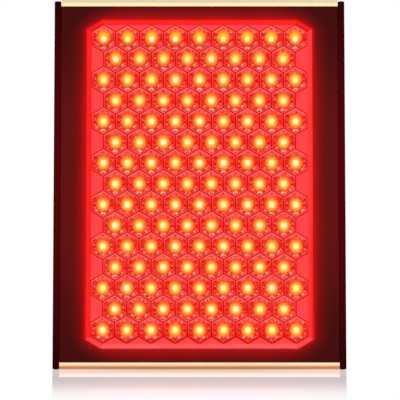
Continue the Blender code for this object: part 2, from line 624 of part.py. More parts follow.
# ---------------------------------------------------------------- fans
for side, s in (("left", -1), ("right", 1)):
    cx = s * FAN_X
    frame = block("fan_frame_" + side, (cx - FAN / 2, FAN_T0, FAN_Z - FAN / 2),
                  (cx + FAN / 2, FAN_T1, FAN_Z + FAN / 2), PLASTIC)
    duct = group("fan_duct_" + side,
                 [("cone", at(cx, (FAN_T0 + FAN_T1) / 2, FAN_Z) @ ALONG_Y,
                   FAN_DUCT_R, FAN_DUCT_R, 30.0, 28)]
                 + [("cone", at(cx + dx, 23.0, FAN_Z + dz) @ ALONG_Y, 2.0, 2.0, 18.0, 6)
                    for dx in (-FAN_HOLE, FAN_HOLE) for dz in (-FAN_HOLE, FAN_HOLE)])
    cut(frame, duct)
    # motor base on four struts, with the bearing tube that the rotor's shaft turns in
    base = turned("motor_base_" + side, [(0.0, 0.0), (15.5, 0.0), (15.5, 2.0), (4.0, 2.0),
                                         (4.0, 9.0), (1.5, 9.0), (1.5, 1.0), (0.0, 1.0)][::-1],
                  (cx, FAN_T0, FAN_Z), "+Y", steps=14, cutter=True)
    struts = group("fan_struts_" + side,
                   [("box", at(cx, FAN_T0 + 1.0, FAN_Z) @ Matrix.Rotation(k * pi / 2 + 0.6, 4, "Y")
                     @ at(26.5, 0.0, 0.0), (24.0, 2.0, 3.0)) for k in range(4)])
    join(frame, base, struts)

    # rotor: a cup with a shaft inside and seven pitched blades around it; its empty is on
    # the shaft's axis
    axle = bpy.data.objects.new("axle_" + side, None)
    PARTS.objects.link(axle)
    axle.location = Vector((cx, 0.0, FAN_Z)) * MM
    rotor = turned("fan_rotor_" + side,
                   [(0.0, 24.3), (14.2, 24.3), (HUB_R, 23.5), (HUB_R, 12.6), (HUB_R - 1.4, 12.6),
                    (HUB_R - 1.4, 22.6), (1.2, 22.6), (1.2, 12.0), (0.0, 12.0)],
                   (0.0, 0.0, 0.0), "+Y", PLASTIC, steps=18)
    rotor.parent = axle
    blades = group("fan_blades_" + side,
                   [("box", Matrix.Rotation(k * 2 * pi / BLADES, 4, "Y")
                     @ at((HUB_R + ROTOR_R) / 2 - 0.4, 18.0, 0.0)
                     @ Matrix.Rotation(radians(-50.0 * 1.0), 4, "X"),
                     (ROTOR_R - HUB_R + 0.7, 1.3, 14.0)) for k in range(BLADES)])
    blades.parent = axle
    join(rotor, blades)

    # wire guard: rings on four arms that end in flat ears under the screw heads
    mid = (GUARD_Y0 + GUARD_Y1) / 2
    rings = []
    for n, (r, sides) in enumerate(((12.0, 12), (24.7, 18), (37.5, 28))):
        bpy.ops.mesh.primitive_torus_add(major_radius=r * MM, minor_radius=0.7 * MM,
                                         major_segments=sides, minor_segments=4,
                                         location=Vector((cx, mid, FAN_Z)) * MM,
                                         rotation=(pi / 2, 0.0, 0.0))
        ring = bpy.context.object
        ring.name = "guard_ring_%s_%d" % (side, n)
        for coll in list(ring.users_collection):
            coll.objects.unlink(ring)
        CUTTERS.objects.link(ring)
        ring.hide_render = True
        ring.display_type = "WIRE"
        rings.append(ring)
    turns = [Matrix.Rotation(pi / 4 + k * pi / 2, 4, "Y") for k in range(4)]
    arms = group("guard_arms_" + side,
                 [("box", at(cx, mid, FAN_Z) @ turn @ at(29.7, 0.0, 0.0), (37.4, 0.9, 1.7))
                  for turn in turns])
    ears = group("guard_ears_" + side,
                 [("cone", at(cx, mid, FAN_Z) @ turn @ at(FAN_HOLE * sqrt(2), 0.0, 0.0) @ ALONG_Y,
                   4.2, 4.2, 1.2, 10) for turn in turns])
    ear_cut = group("guard_ear_holes_" + side,
                    [("cone", at(cx + dx, mid, FAN_Z + dz) @ ALONG_Y, 2.0, 2.0, 6.0, 6)
                     for dx in (-FAN_HOLE, FAN_HOLE) for dz in (-FAN_HOLE, FAN_HOLE)])
    guard = rings.pop()
    guard.name = "fan_guard_" + side
    guard.data.name = guard.name
    CUTTERS.objects.unlink(guard)
    PARTS.objects.link(guard)
    guard.hide_render = False
    guard.display_type = "TEXTURED"
    guard.data.materials.append(STEEL)
    join(guard, arms, ears, *rings)
    cut(guard, ear_cut)


# ---------------------------------------------------------------- fasteners
def screw(name, location, axis, head_r, head_h, shank_r, length, countersunk=False, steps=12,
          mat=STEEL):
    """A screw whose head's underside is at location; axis points out of its head."""
    if countersunk:
        profile = [(0.0, 0.0), (head_r, 0.0), (shank_r, -head_h), (shank_r, -length),
                   (0.0, -length)]
    else:
        profile = [(0.0, head_h), (head_r * 0.85, head_h), (head_r, 0.0), (shank_r, 0.0),
                   (shank_r, -length), (0.0, -length)]
    return turned(name, profile, location, axis, mat, steps)


for side, s in (("left", -1), ("right", 1)):
    n = 0
    for dz in (-FAN_HOLE, FAN_HOLE):
        for dx in (-FAN_HOLE, FAN_HOLE):
            n += 1
            screw("fan_screw_%s_%d" % (side, n), (s * FAN_X + dx, GUARD_Y1 + GAP, FAN_Z + dz),
                  "+Y", 3.4, 1.5, 1.6, 12.0, steps=8)
    for where, y, z in SIDE_SCREWS:
        screw("side_screw_%s_%s" % (side, where), (s * (WIDTH / 2 - 0.35), y, z),
              "+X" if s > 0 else "-X", 2.7, 1.3, 1.45, 9.0, countersunk=True, steps=8,
              mat=RAIL)
    screw("top_cap_screw_" + side, (s * CAP_SCREW_X, CAP_SCREW_Y, TOP_CAP_Z + CAP_H - 0.35),
          "+Z", 2.7, 1.3, 1.45, 10.0, countersunk=True, steps=8)
    screw("bottom_cap_screw_" + side, (s * CAP_SCREW_X, CAP_SCREW_Y, 0.35),
          "-Z", 2.7, 1.3, 1.45, 10.0, countersunk=True, steps=8)
    screw("inlet_screw_" + side, (INLET_X + s * 20.0, 29.0 + GAP, INLET_Z), "+Y", 2.6, 0.7,
          1.5, 10.0, steps=8)
    screw("hanger_bolt_" + side, (s * HANGER_X, COVER_REAR + GAP, HANGER_Z), "+Y", 6.5, 2.8,
          3.0, 11.0, steps=12)

# ---------------------------------------------------------------- wiring inside the case
wire("mains_wiring", [(-80.0, 7.2, 40.0), (-80.0, 5.4, 40.0), (-74.0, 2.9, 43.0),
                      (-40.0, 2.8, 52.0), (10.0, 2.8, 52.0), (54.0, 2.9, 43.0),
                      (60.0, 5.4, 40.0), (60.0, 7.2, 40.0)], 1.8, WIRE)
wire("switch_wiring", [(88.0, 7.2, 40.0), (88.0, 5.4, 40.4), (84.0, 4.0, 50.0),
                       (72.0, 12.0, 66.0), (66.0, 21.0, 73.6), (66.0, 21.2, 77.4)], 1.6, WIRE)
wire("led_wiring", [(-7.6, 21.2, 110.0), (-5.0, 21.0, 110.0), (-0.5, 16.0, 104.0),
                    (0.0, 10.0, 84.0), (0.0, 8.5, 52.0), (0.0, 6.0, 22.0), (0.0, -5.0, 10.9),
                    (0.0, -15.0, 10.9), (0.0, -18.2, 15.0), (0.0, -18.2, 18.6)], 1.5, WIRE)
for side, s in (("left", -1), ("right", 1)):
    wire("fan_lead_" + side, [(s * 58.0, 15.0, 174.4), (s * 58.0, 15.0, 171.0),
                              (s * 56.0, 14.0, 163.0), (s * 58.0, 21.0, 153.0),
                              (s * 58.0, 21.2, 148.8)], 1.2, WIRE)

# ---------------------------------------------------------------- shading
for ob in PARTS.objects:
    if ob.type == "MESH":
        ob.data.shade_smooth()
        ob.data.set_sharp_from_angle(angle=radians(35.0))
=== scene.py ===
"""Looks of the red light therapy panel: the lit lens field, the finishes, the floor, light and
camera. Sizes are in millimetres where a name ends in no unit, and in metres in the meshes."""
from math import pi, sin, cos, tan, sqrt, exp, radians, atan2, hypot
import bpy
import bmesh
import numpy as np
from mathutils import Matrix, Vector


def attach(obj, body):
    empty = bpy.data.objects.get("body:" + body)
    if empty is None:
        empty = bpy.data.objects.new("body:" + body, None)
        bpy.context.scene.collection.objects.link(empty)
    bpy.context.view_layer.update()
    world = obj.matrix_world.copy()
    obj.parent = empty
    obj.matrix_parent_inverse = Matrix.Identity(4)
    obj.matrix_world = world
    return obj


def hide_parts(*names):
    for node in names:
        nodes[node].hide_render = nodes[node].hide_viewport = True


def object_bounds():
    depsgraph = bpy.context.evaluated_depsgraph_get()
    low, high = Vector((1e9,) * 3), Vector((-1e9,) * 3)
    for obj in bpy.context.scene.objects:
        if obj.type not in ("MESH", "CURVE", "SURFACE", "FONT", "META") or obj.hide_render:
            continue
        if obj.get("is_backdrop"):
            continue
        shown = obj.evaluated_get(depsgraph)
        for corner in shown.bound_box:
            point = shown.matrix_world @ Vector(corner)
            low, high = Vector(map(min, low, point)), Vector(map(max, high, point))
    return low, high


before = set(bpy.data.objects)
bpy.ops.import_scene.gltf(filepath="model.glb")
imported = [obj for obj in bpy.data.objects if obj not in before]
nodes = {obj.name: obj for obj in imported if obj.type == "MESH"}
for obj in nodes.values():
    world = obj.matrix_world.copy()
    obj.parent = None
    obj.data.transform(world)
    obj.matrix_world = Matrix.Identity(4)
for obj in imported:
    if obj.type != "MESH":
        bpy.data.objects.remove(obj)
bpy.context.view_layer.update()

MM = 0.001
scene = bpy.context.scene

# ---------------------------------------------------------------- camera, as the photograph
camera_data = bpy.data.cameras.new("camera")
camera_data.lens = 146.827
camera_data.sensor_width = 36.0
camera_data.sensor_fit = "HORIZONTAL"
camera_data.clip_start = 0.05
camera_data.clip_end = 60.0
camera = bpy.data.objects.new("camera", camera_data)
camera.location = (0.00163, -1.51532, 0.04883)
camera.rotation_euler = (radians(94.053), radians(-0.008), radians(0.043))
scene.collection.objects.link(camera)
scene.camera = camera

scene.view_settings.view_transform = "Standard"
scene.view_settings.look = "None"
scene.view_settings.exposure = 0.0
scene.view_settings.gamma = 1.0


# ---------------------------------------------------------------- material helpers
def linear(rgb):
    """0 to 255 display values as linear light."""
    out = []
    for c in rgb[:3]:
        c = c / 255.0
        out.append(c / 12.92 if c <= 0.04045 else ((c + 0.055) / 1.055) ** 2.4)
    return (*out, 1.0)


class Nodes:
    """Short names for building a material's nodes."""

    def __init__(self, name, tree=None):
        if tree is None:
            self.material = bpy.data.materials.new(name)
            self.material.use_nodes = True
            tree = self.material.node_tree
            self.shader = tree.nodes["Principled BSDF"]
            self.output = tree.nodes["Material Output"]
        self.tree = tree

    def new(self, kind, **settings):
        node = self.tree.nodes.new(kind)
        for key, value in settings.items():
            setattr(node, key, value)
        return node

    def put(self, socket, value):
        if isinstance(value, bpy.types.NodeSocket):
            self.tree.links.new(value, socket)
        elif value is not None:
            if socket.type == "RGBA" and hasattr(value, "__len__") and len(value) == 3:
                value = (*value, 1.0)
            socket.default_value = value

    def math(self, operation, a, b=None, c=None, clamp=False):
        node = self.new("ShaderNodeMath", operation=operation, use_clamp=clamp)
        for socket, value in zip(node.inputs, (a, b, c)):
            self.put(socket, value)
        return node.outputs[0]

    def smooth(self, value, low, high):
        """0 below low, 1 above high, eased between. low may be above high."""
        node = self.new("ShaderNodeMapRange", interpolation_type="SMOOTHSTEP")
        self.put(node.inputs["Value"], value)
        a, b, out = (low, high, (0.0, 1.0)) if low < high else (high, low, (1.0, 0.0))
        for name, v in zip(("From Min", "From Max", "To Min", "To Max"), (a, b, *out)):
            node.inputs[name].default_value = v
        return node.outputs["Result"]

    def span(self, value, low, high, to_low, to_high):
        node = self.new("ShaderNodeMapRange")
        self.put(node.inputs["Value"], value)
        for name, v in zip(("From Min", "From Max", "To Min", "To Max"),
                           (low, high, to_low, to_high)):
            node.inputs[name].default_value = v
        return node.outputs["Result"]

    def mix(self, factor, a, b, blend="MIX"):
        node = self.new("ShaderNodeMix", data_type="RGBA", blend_type=blend)
        self.put(node.inputs[0], factor)
        self.put(node.inputs[6], a)
        self.put(node.inputs[7], b)
        return node.outputs[2]

    def ramp(self, factor, stops, interpolation="LINEAR"):
        """stops is [(place, display colour)], mixed as display values would be."""
        node = self.new("ShaderNodeValToRGB")
        ramp = node.color_ramp
        ramp.interpolation = interpolation
        while len(ramp.elements) < len(stops):
            ramp.elements.new(0.5)
        for element, (place, colour) in zip(ramp.elements, sorted(stops)):
            element.position = place
            element.color = linear(colour)
        self.put(node.inputs[0], factor)
        return node.outputs[0]

    def attribute(self, name):
        return self.new("ShaderNodeAttribute", attribute_name=name)

    def split(self, vector):
        node = self.new("ShaderNodeSeparateXYZ")
        self.put(node.inputs[0], vector)
        return node.outputs

    def place(self):
        """The point on the object, in metres."""
        return self.new("ShaderNodeTexCoord").outputs["Object"]

    def stretched(self, vector, x, y, z):
        node = self.new("ShaderNodeMapping")
        self.put(node.inputs["Vector"], vector)
        node.inputs["Scale"].default_value = (x, y, z)
        return node.outputs[0]

    def noise(self, vector, scale, detail=2.0, roughness=0.5):
        node = self.new("ShaderNodeTexNoise")
        self.put(node.inputs["Vector"], vector)
        node.inputs["Scale"].default_value = scale
        node.inputs["Detail"].default_value = detail
        node.inputs["Roughness"].default_value = roughness
        return node.outputs["Fac"]

    def voronoi(self, vector, scale, feature="F1"):
        node = self.new("ShaderNodeTexVoronoi", feature=feature)
        self.put(node.inputs["Vector"], vector)
        node.inputs["Scale"].default_value = scale
        return node.outputs["Distance"]

    def bump(self, height, distance, strength=1.0):
        node = self.new("ShaderNodeBump")
        self.put(node.inputs["Height"], height)
        node.inputs["Distance"].default_value = distance
        node.inputs["Strength"].default_value = strength
        self.tree.links.new(node.outputs[0], self.shader.inputs["Normal"])

    def set(self, **values):
        for key, value in values.items():
            self.put(self.shader.inputs[key.replace("_", " ")], value)
        return self


def finish(name, colour, roughness, metallic=0.0, specular=0.5, grain=1500.0, depth=0.00001,
           vary=0.25, rough_vary=0.08, stretch=(1.0, 1.0, 1.0), coat=0.0):
    """A plain finish with fine grain: colour and roughness vary, and the grain stands up."""
    m = Nodes(name)
    at = m.stretched(m.place(), *stretch)
    fine = m.noise(at, grain, 3.0)
    broad = m.noise(m.place(), 24.0, 3.0)
    both = m.math("ADD", m.math("MULTIPLY", fine, 0.6), m.math("MULTIPLY", broad, 0.4))
    dark = [c * (1 - vary) for c in colour]
    pale = [min(1.0, c * (1 + vary)) for c in colour]
    m.set(Base_Color=m.mix(m.smooth(both, 0.3, 0.7), (*dark, 1), (*pale, 1)),
          Roughness=m.span(both, 0.3, 0.7, roughness - rough_vary, roughness + rough_vary),
          Metallic=metallic, Specular_IOR_Level=specular)
    if coat:
        m.set(Coat_Weight=coat, Coat_Roughness=0.15)
    m.bump(fine, depth)
    return m


def wear(obj, *materials):
    obj.data.materials.clear()
    for m in materials:
        obj.data.materials.append(m.material if isinstance(m, Nodes) else m)


# ---------------------------------------------------------------- lens field: sizes
PITCH, ROWS = 22.0, 15
ROW_STEP = PITCH * sqrt(3) / 2
LATTICE_Z = 169.40         # the plate sits a little high in its opening
FIELD_W = 9 * PITCH / 2
FIELD_H = 7 * ROW_STEP + PITCH / sqrt(3)
RIM, FRONT, SHOULDER, BACK = 4.8, -30.0, -27.0, -22.1
FLANGE, FLANGE_T = 4.0, 2.0


def field_outline(offset):
    w, h = FIELD_W + offset, FIELD_H + offset
    d = 0.5 * 4 * PITCH + sqrt(3) / 2 * 7 * ROW_STEP + PITCH / 2 + offset
    z_side = (d - 0.5 * w) / (sqrt(3) / 2)
    x_top = (d - sqrt(3) / 2 * h) / 0.5
    quarter = [(w, z_side), (x_top, h)]
    upper = quarter + [(-x, z) for x, z in reversed(quarter)]
    return upper + [(-x, -z) for x, z in upper]       # counter-clockwise in X and Z


def cell_rows():
    for row in range(ROWS):
        count = 9 if row % 2 == 0 else 8
        for k in range(count):
            yield row, (k - (count - 1) / 2) * PITCH, (7 - row) * ROW_STEP


# ---------------------------------------------------------------- lens field: mesh
STEPS = 48                     # points round a cell
GROOVE = 0.45                  # depth of the line between two lenses
GROOVE_HALF = 0.0205           # its half width, in pitches


class Sheet:
    """A mesh in the making. Corners carry (u, v, height over the glow) and (row, random,
    random)."""

    def __init__(self):
        self.verts, self.faces, self.slot, self.cell, self.mark = [], [], [], [], []
        self.known = {}
        self.rear = []

    def vert(self, x, y, z, shared=False):
        if shared:
            key = (round(x, 3), round(y, 3), round(z, 3))
            if key not in self.known:
                self.known[key] = len(self.verts)
                self.verts.append((x, y, z))
            return self.known[key]
        self.verts.append((x, y, z))
        return len(self.verts) - 1

    def face(self, corners, slot, cells=None, marks=None, rear=False):
        """corners are vertex numbers, counter-clockwise seen from the front (-Y)."""
        self.faces.append(corners)
        self.slot.append(slot)
        self.rear.append(rear)
        n = len(corners)
        self.cell.extend(cells or [(9.0, 9.0, 9.0)] * n)
        self.mark.extend(marks or [(0.5, 0.5, 0.5)] * n)

    def build(self, name):
        mesh = bpy.data.meshes.new(name)
        turn = Vector((0.0, 0.0, LATTICE_Z))
        mesh.from_pydata([(Vector(v) + turn) * MM for v in self.verts], [], self.faces)
        for key, data in (("cell", self.cell), ("mark", self.mark)):
            made = mesh.attributes.new(key, "FLOAT_VECTOR", "CORNER")
            made.data.foreach_set("vector", np.array(data, np.float32).ravel())
        mesh.validate()
        mesh.update()
        return mesh


def hex_radius(angle, apothem):
    """Distance to a hexagon with two upright flats."""
    a = (angle + pi / 6) % (pi / 3) - pi / 6
    return apothem / cos(a)


def square_radius(angle, half, power=4.0):
    c, s = abs(cos(angle)), abs(sin(angle))
    return half / (c ** power + s ** power) ** (1 / power)


def glow_height(row):
    """How far above its chip a cell's glow sits, in pitches: the upper rows' lenses throw it
    upwards."""
    return -0.012 + 0.100 * exp(-row / 2.6)


DIMPLE_AT, DIMPLE_R = 0.44, 0.092        # six dimples at a cell's corners, in pitches
SHADOW_AT = 0.372                        # six hollows between them, facing the flats


def folded(u, v, turn):
    """The point turned into the sector of 60 degrees that is centred on a direction."""
    r, a = hypot(u, v), atan2(v, u) - turn
    a = (a + pi / 6) % (pi / 3) - pi / 6
    return r * cos(a), r * sin(a)


def eased(x, low, high):
    t = min(1.0, max(0.0, (x - low) / (high - low)))
    return t * t * (3 - 2 * t)


def bowl(u, v):
    """Depth of a lens behind the plate's face, inside its raised edge."""
    r = hypot(u, v)
    depth = float(np.interp(r, [0.20, 0.255, 0.30, 0.33, 0.366, 0.402, 0.434, 0.47, 0.53],
                            [2.55, 2.30, 1.90, 1.62, 1.22, 0.86, 0.52, 0.30, 0.12]))
    x, y = folded(u, v, pi / 6)
    d = hypot(x - DIMPLE_AT, y)
    depth -= 0.34 * exp(-((d - DIMPLE_R) / 0.022) ** 2)
    depth += 0.75 * (1 - eased(d, 0.025, 0.075))
    x, y = folded(u, v, 0.0)
    depth += 0.45 * (1 - eased(hypot(x - SHADOW_AT, y * 1.5), 0.020, 0.060))
    return max(0.02, depth)


def lens_cell(sheet, row, cx, cz, rng):
    """One lens, from the groove round it to the chip in its middle."""
    lift = glow_height(row)
    traits = (row / 14.0, float(rng.uniform(0.0, 1.0)), float(rng.uniform(0.0, 1.0)))

    def blend(apothem, square):
        return lambda a: (hex_radius(a, apothem) * square + apothem * (1 - square))

    # (radius for an angle, depth or None for the bowl's own, points round)
    plan = [
        (blend(0.5, 1.0), GROOVE, 48),
        (blend(0.5 - GROOVE_HALF, 1.0), 0.0, 48),
        (blend(0.452, 1.0), 0.0, 48),
        (blend(0.437, 0.62), None, 48),
        (blend(0.420, 0.30), None, 48),
        (blend(0.403, 0.0), None, 48),
        (blend(0.385, 0.0), None, 48),
        (blend(0.367, 0.0), None, 48),
        (blend(0.349, 0.0), None, 48),
        (blend(0.330, 0.0), None, 48),
        (blend(0.300, 0.0), None, 48),
        (blend(0.255, 0.0), 2.30, 48),
        (blend(0.200, 0.0), 2.55, 48),
        (blend(0.150, 0.0), 2.35, 24),
        (lambda a: square_radius(a, 0.108), 1.75, 24),
        (lambda a: square_radius(a, 0.090), 1.45, 24),
        (lambda a: square_radius(a, 0.045), 1.40, 24),
    ]
    rings = []
    for n, (radius, depth, count) in enumerate(plan):
        ring = []
        for k in range(count):
            a = k * 2 * pi / count
            u, v = radius(a) * cos(a), radius(a) * sin(a)
            y = FRONT + (bowl(u, v) if depth is None else depth)
            ring.append((sheet.vert(cx + u * PITCH, y, cz + v * PITCH, shared=n == 0),
                         (u, v, v - lift)))
        rings.append(ring)

    def patch(*corners):
        sheet.face([c[0] for c in corners], 0, [c[1] for c in corners],
                   [traits] * len(corners))

    for outer, inner in zip(rings, rings[1:]):
        n, m = len(outer), len(inner)
        for k in range(m):
            j = (k + 1) % m
            if n == m:
                patch(outer[k], outer[j], inner[j], inner[k])
            else:
                a, b, c = outer[2 * k], outer[2 * k + 1], outer[(2 * k + 2) % n]
                patch(a, b, inner[k])
                patch(b, inner[j], inner[k])
                patch(b, c, inner[j])
    middle = (sheet.vert(cx, FRONT + 1.38, cz), (0.0, 0.0, -lift))
    last = rings[-1]
    for k in range(len(last)):
        patch(last[k], last[(k + 1) % len(last)], middle)


def hex_edge(cx, cz, side):
    """The points of one edge of a cell, counter-clockwise. side 0 is the right flat."""
    first = side * STEPS // 6 - STEPS // 12
    points = []
    for k in range(first, first + STEPS // 6 + 1):
        a = k * 2 * pi / STEPS
        r = hex_radius(a, 0.5)
        points.append((cx + r * cos(a) * PITCH, cz + r * sin(a) * PITCH))
    return points


def lens_plate():
    sheet = Sheet()
    rng = np.random.default_rng(7)
    where = {}
    for row, cx, cz in cell_rows():
        lens_cell(sheet, row, cx, cz, rng)
        where[(row, round(cx / PITCH * 2))] = (cx, cz)

    def corner(cx, cz, k):
        """Corner k of a cell, from the one at 30 degrees, counter-clockwise."""
        a = radians(30 + 60 * k)
        return (cx + PITCH / sqrt(3) * cos(a), cz + PITCH / sqrt(3) * sin(a))

    rim_points = []            # on the field's outline, at the front face

    def margin(pieces, ends):
        """A flat patch between cells and the outline. pieces are the cells' edges that it
        meets, each (cell centre, side); ends are the outline points, counter-clockwise."""
        width = GROOVE_HALF * PITCH
        lines = []
        for (cx, cz), side in pieces:
            pts = hex_edge(cx, cz, side)[::-1]          # clockwise for the cell
            a = radians(60 * side)
            out = (cos(a) * width, sin(a) * width)
            lines.append((pts, out, (cx, cz)))

        def cross(p, d, q, e):
            t = ((q[0] - p[0]) * e[1] - (q[1] - p[1]) * e[0]) / (d[0] * e[1] - d[1] * e[0])
            return (p[0] + t * d[0], p[1] + t * d[1])

        moved = []
        for pts, out, _ in lines:
            p = (pts[0][0] + out[0], pts[0][1] + out[1])
            moved.append((p, (pts[-1][0] - pts[0][0], pts[-1][1] - pts[0][1])))
        rim_line = (ends[0], (ends[1][0] - ends[0][0], ends[1][1] - ends[0][1]))
        corners = [cross(*rim_line, *moved[0])]
        for a, b in zip(moved, moved[1:]):
            corners.append(cross(*a, *b))
        corners.append(cross(*moved[-1], *rim_line))
        tops = [sheet.vert(x, FRONT, z, shared=True) for x, z in corners]
        sheet.face(tops, 1)
        for n, (pts, out, (cx, cz)) in enumerate(lines):
            low = [sheet.vert(x, FRONT + GROOVE, z, shared=True) for x, z in pts]
            face = low + [tops[n + 1], tops[n]]
            # counter-clockwise: along the groove, then back along the top edge
            points = pts + [corners[n + 1], corners[n]]
            cells = [((x - cx) / PITCH, (z - cz) / PITCH, (z - cz) / PITCH) for x, z in points]
            sheet.face(face, 0, cells, [(0.5, 0.5, 0.5)] * len(face))
        # the ends of the groove, on the outline
        for top, (x, z) in ((tops[0], lines[0][0][0]), (tops[-1], lines[-1][0][-1])):
            deep = sheet.vert(x, FRONT + GROOVE, z, shared=True)
            high = sheet.vert(x, FRONT, z, shared=True)
            rim_points.append((x, z))
            sheet.face([deep, top, high] if top == tops[0] else [top, deep, high], 1)
        rim_points.extend([corners[0], corners[-1]])

    def wall(centre, side):
        """The groove's outer side where a cell's edge lies on the outline."""
        pts = hex_edge(*centre, side)
        low = [sheet.vert(x, FRONT + GROOVE, z, shared=True) for x, z in pts]
        high = [sheet.vert(x, FRONT, z, shared=True) for x, z in (pts[0], pts[-1])]
        sheet.face([high[0]] + [high[1]] + low[::-1], 1)
        rim_points.extend([pts[0], pts[-1]])

    for s in (-1, 1):
        for row in range(0, ROWS, 2):
            cell = where[(row, s * 8)]
            wall(cell, 0 if s > 0 else 3)
            if row == 0:
                wall(cell, 1 if s > 0 else 2)
            if row == ROWS - 1:
                wall(cell, 5 if s > 0 else 4)
        for row in range(1, ROWS, 2):
            above, inner, below = where[(row - 1, s * 8)], where[(row, s * 7)], \
                where[(row + 1, s * 8)]
            if s > 0:
                margin([(above, 5), (inner, 0), (below, 1)],
                       [corner(*above, 5), corner(*below, 0)])
            else:
                margin([(below, 2), (inner, 3), (above, 4)],
                       [corner(*below, 2), corner(*above, 3)])
    for k in range(8):
        left, right = where[(0, 2 * k - 8)], where[(0, 2 * k - 6)]
        margin([(left, 1), (right, 2)], [corner(*left, 1), corner(*right, 1)])
        left, right = where[(14, 2 * k - 8)], where[(14, 2 * k - 6)]
        margin([(right, 4), (left, 5)], [corner(*right, 4), corner(*left, 4)])

    # the bevelled rim: one face for each side of the outline
    inner, outer, wide = field_outline(0.0), field_outline(RIM), field_outline(RIM + FLANGE)
    foot = min(z for x, z in outer)        # the lower side reaches a little further down
    outer = [(x, z - 0.28 if z < foot + 0.01 else z) for x, z in outer]
    for n in range(8):
        m = (n + 1) % 8
        (ax, az), (bx, bz) = inner[n], inner[m]
        length = hypot(bx - ax, bz - az)
        along = [(0.0, ax, az), (1.0, bx, bz)]
        for x, z in rim_points:
            t = ((x - ax) * (bx - ax) + (z - az) * (bz - az)) / length ** 2
            off = abs((x - ax) * (bz - az) - (z - az) * (bx - ax)) / length
            if off < 0.01 and -1e-4 < t < 1 + 1e-4:
                along.append((t, x, z))
        edge = []
        for t, x, z in sorted(along):
            point = sheet.vert(x, FRONT, z, shared=True)
            if point not in edge:
                edge.append(point)
        low = [sheet.vert(x, SHOULDER, z, shared=True) for x, z in (outer[n], outer[m])]
        sheet.face([low[0], low[1]] + edge[::-1], 1)
        # behind the panel: the wall, the flange and the back
        sets = [(outer, SHOULDER), (outer, BACK - FLANGE_T), (wide, BACK - FLANGE_T),
                (wide, BACK)]
        for step, ((ring, y), (ring2, y2)) in enumerate(zip(sets, sets[1:])):
            quad = [sheet.vert(ring2[n][0], y2, ring2[n][1], shared=True),
                    sheet.vert(ring2[m][0], y2, ring2[m][1], shared=True),
                    sheet.vert(ring[m][0], y, ring[m][1], shared=True),
                    sheet.vert(ring[n][0], y, ring[n][1], shared=True)]
            sheet.face(quad, 1 if step == 0 else 2, rear=True)
    sheet.face([sheet.vert(x, BACK, z, shared=True) for x, z in wide][::-1], 2, rear=True)
    return sheet.build("lens_plate_lit"), sheet.slot, sheet.rear


lens_mesh, lens_slots, sheet_behind = lens_plate()
lens = bpy.data.objects.new("lens_plate_lit", lens_mesh)
scene.collection.objects.link(lens)

# a flat map for the front, and a narrow one beside it for the back and the walls
layer = lens_mesh.uv_layers.new(name="OFBake")
co = np.empty(len(lens_mesh.vertices) * 3, np.float32)
lens_mesh.vertices.foreach_get("co", co)
co = co.reshape(-1, 3)
loops = np.empty(len(lens_mesh.loops), np.int32)
lens_mesh.loops.foreach_get("vertex_index", loops)
slot_of = np.array(lens_slots, np.int32)
total = np.empty(len(lens_mesh.polygons), np.int32)
lens_mesh.polygons.foreach_get("loop_total", total)
behind = np.repeat(np.array(sheet_behind, bool), total)
x, z = co[loops, 0], co[loops, 2] - LATTICE_Z * MM
half = (FIELD_H + RIM) * MM
uv = np.stack([(x + (FIELD_W + RIM) * MM) / (2 * half) + 0.002,
               (z + half) / (2 * half)], 1)
uv[behind, 0] = 0.99 - (x[behind] + 0.12) / 0.24 * 0.26
uv[behind, 1] = (z[behind] + 0.16) / 0.32 + (co[loops[behind], 1] + 0.025) * 4.0
layer.uv.foreach_set("vector", np.clip(uv, 0.0, 1.0).astype(np.float32).ravel())

# ---------------------------------------------------------------- lens field: materials
cell_mat = Nodes("lens_cell_lit")
m = cell_mat
u, v, w = m.split(m.attribute("cell").outputs["Vector"])
down, luck, luck2 = m.split(m.attribute("mark").outputs["Vector"])
au, av = m.math("ABSOLUTE", u), m.math("ABSOLUTE", v)
hexagon = m.math("MAXIMUM", au, m.math("MULTIPLY_ADD", av, sqrt(3) / 2,
                                       m.math("MULTIPLY", au, 0.5)))
mottle = m.noise(m.place(), 420.0, 3.0, 0.6)
drift = m.noise(m.place(), 70.0, 2.0)
r = m.math("SQRT", m.math("ADD", m.math("MULTIPLY", u, u), m.math("MULTIPLY", v, v)))
east = m.math("DIVIDE", u, m.math("MAXIMUM", r, 0.01))
north = m.math("DIVIDE", v, m.math("MAXIMUM", r, 0.01))
angle = m.math("ARCTAN2", v, u)


def spot(turn, at, flatten=1.0):
    """Distance from the nearest of six points at that radius, the first in that direction."""
    a = m.math("WRAP", m.math("SUBTRACT", angle, turn), pi / 6, -pi / 6)
    x = m.math("SUBTRACT", m.math("MULTIPLY", r, m.math("COSINE", a)), at)
    y = m.math("MULTIPLY", m.math("MULTIPLY", r, m.math("SINE", a)), flatten)
    return m.math("SQRT", m.math("ADD", m.math("MULTIPLY", x, x), m.math("MULTIPLY", y, y)))


# body of the lens: deep red beside the flats, salmon above and, weaker, below
wavy = m.math("ADD", north, m.math("MULTIPLY", m.math("SUBTRACT", mottle, 0.5), 0.30))
body = m.mix(m.smooth(m.math("MULTIPLY_ADD", m.smooth(east, 0.2, -0.3), 0.07, wavy), 0.50, 1.0),
             linear((233, 24, 10)), linear((247, 80, 64)))
body = m.mix(m.smooth(wavy, -0.45, -0.95), body, linear((228, 52, 38)))
body = m.mix(m.math("MULTIPLY", m.smooth(mottle, 0.52, 0.75), 0.45), body,
             linear((255, 84, 70)))
body = m.mix(m.math("MULTIPLY", m.smooth(mottle, 0.48, 0.28), 0.50), body,
             linear((210, 14, 8)))
web = m.mix(m.math("MULTIPLY", m.smooth(m.math("ABSOLUTE", north), 0.35, 0.80),
                   m.math("SUBTRACT", 1.0, m.math("MULTIPLY", m.smooth(north, -0.3, -0.6), 0.35))),
            linear((248, 32, 26)), linear((250, 76, 70)))
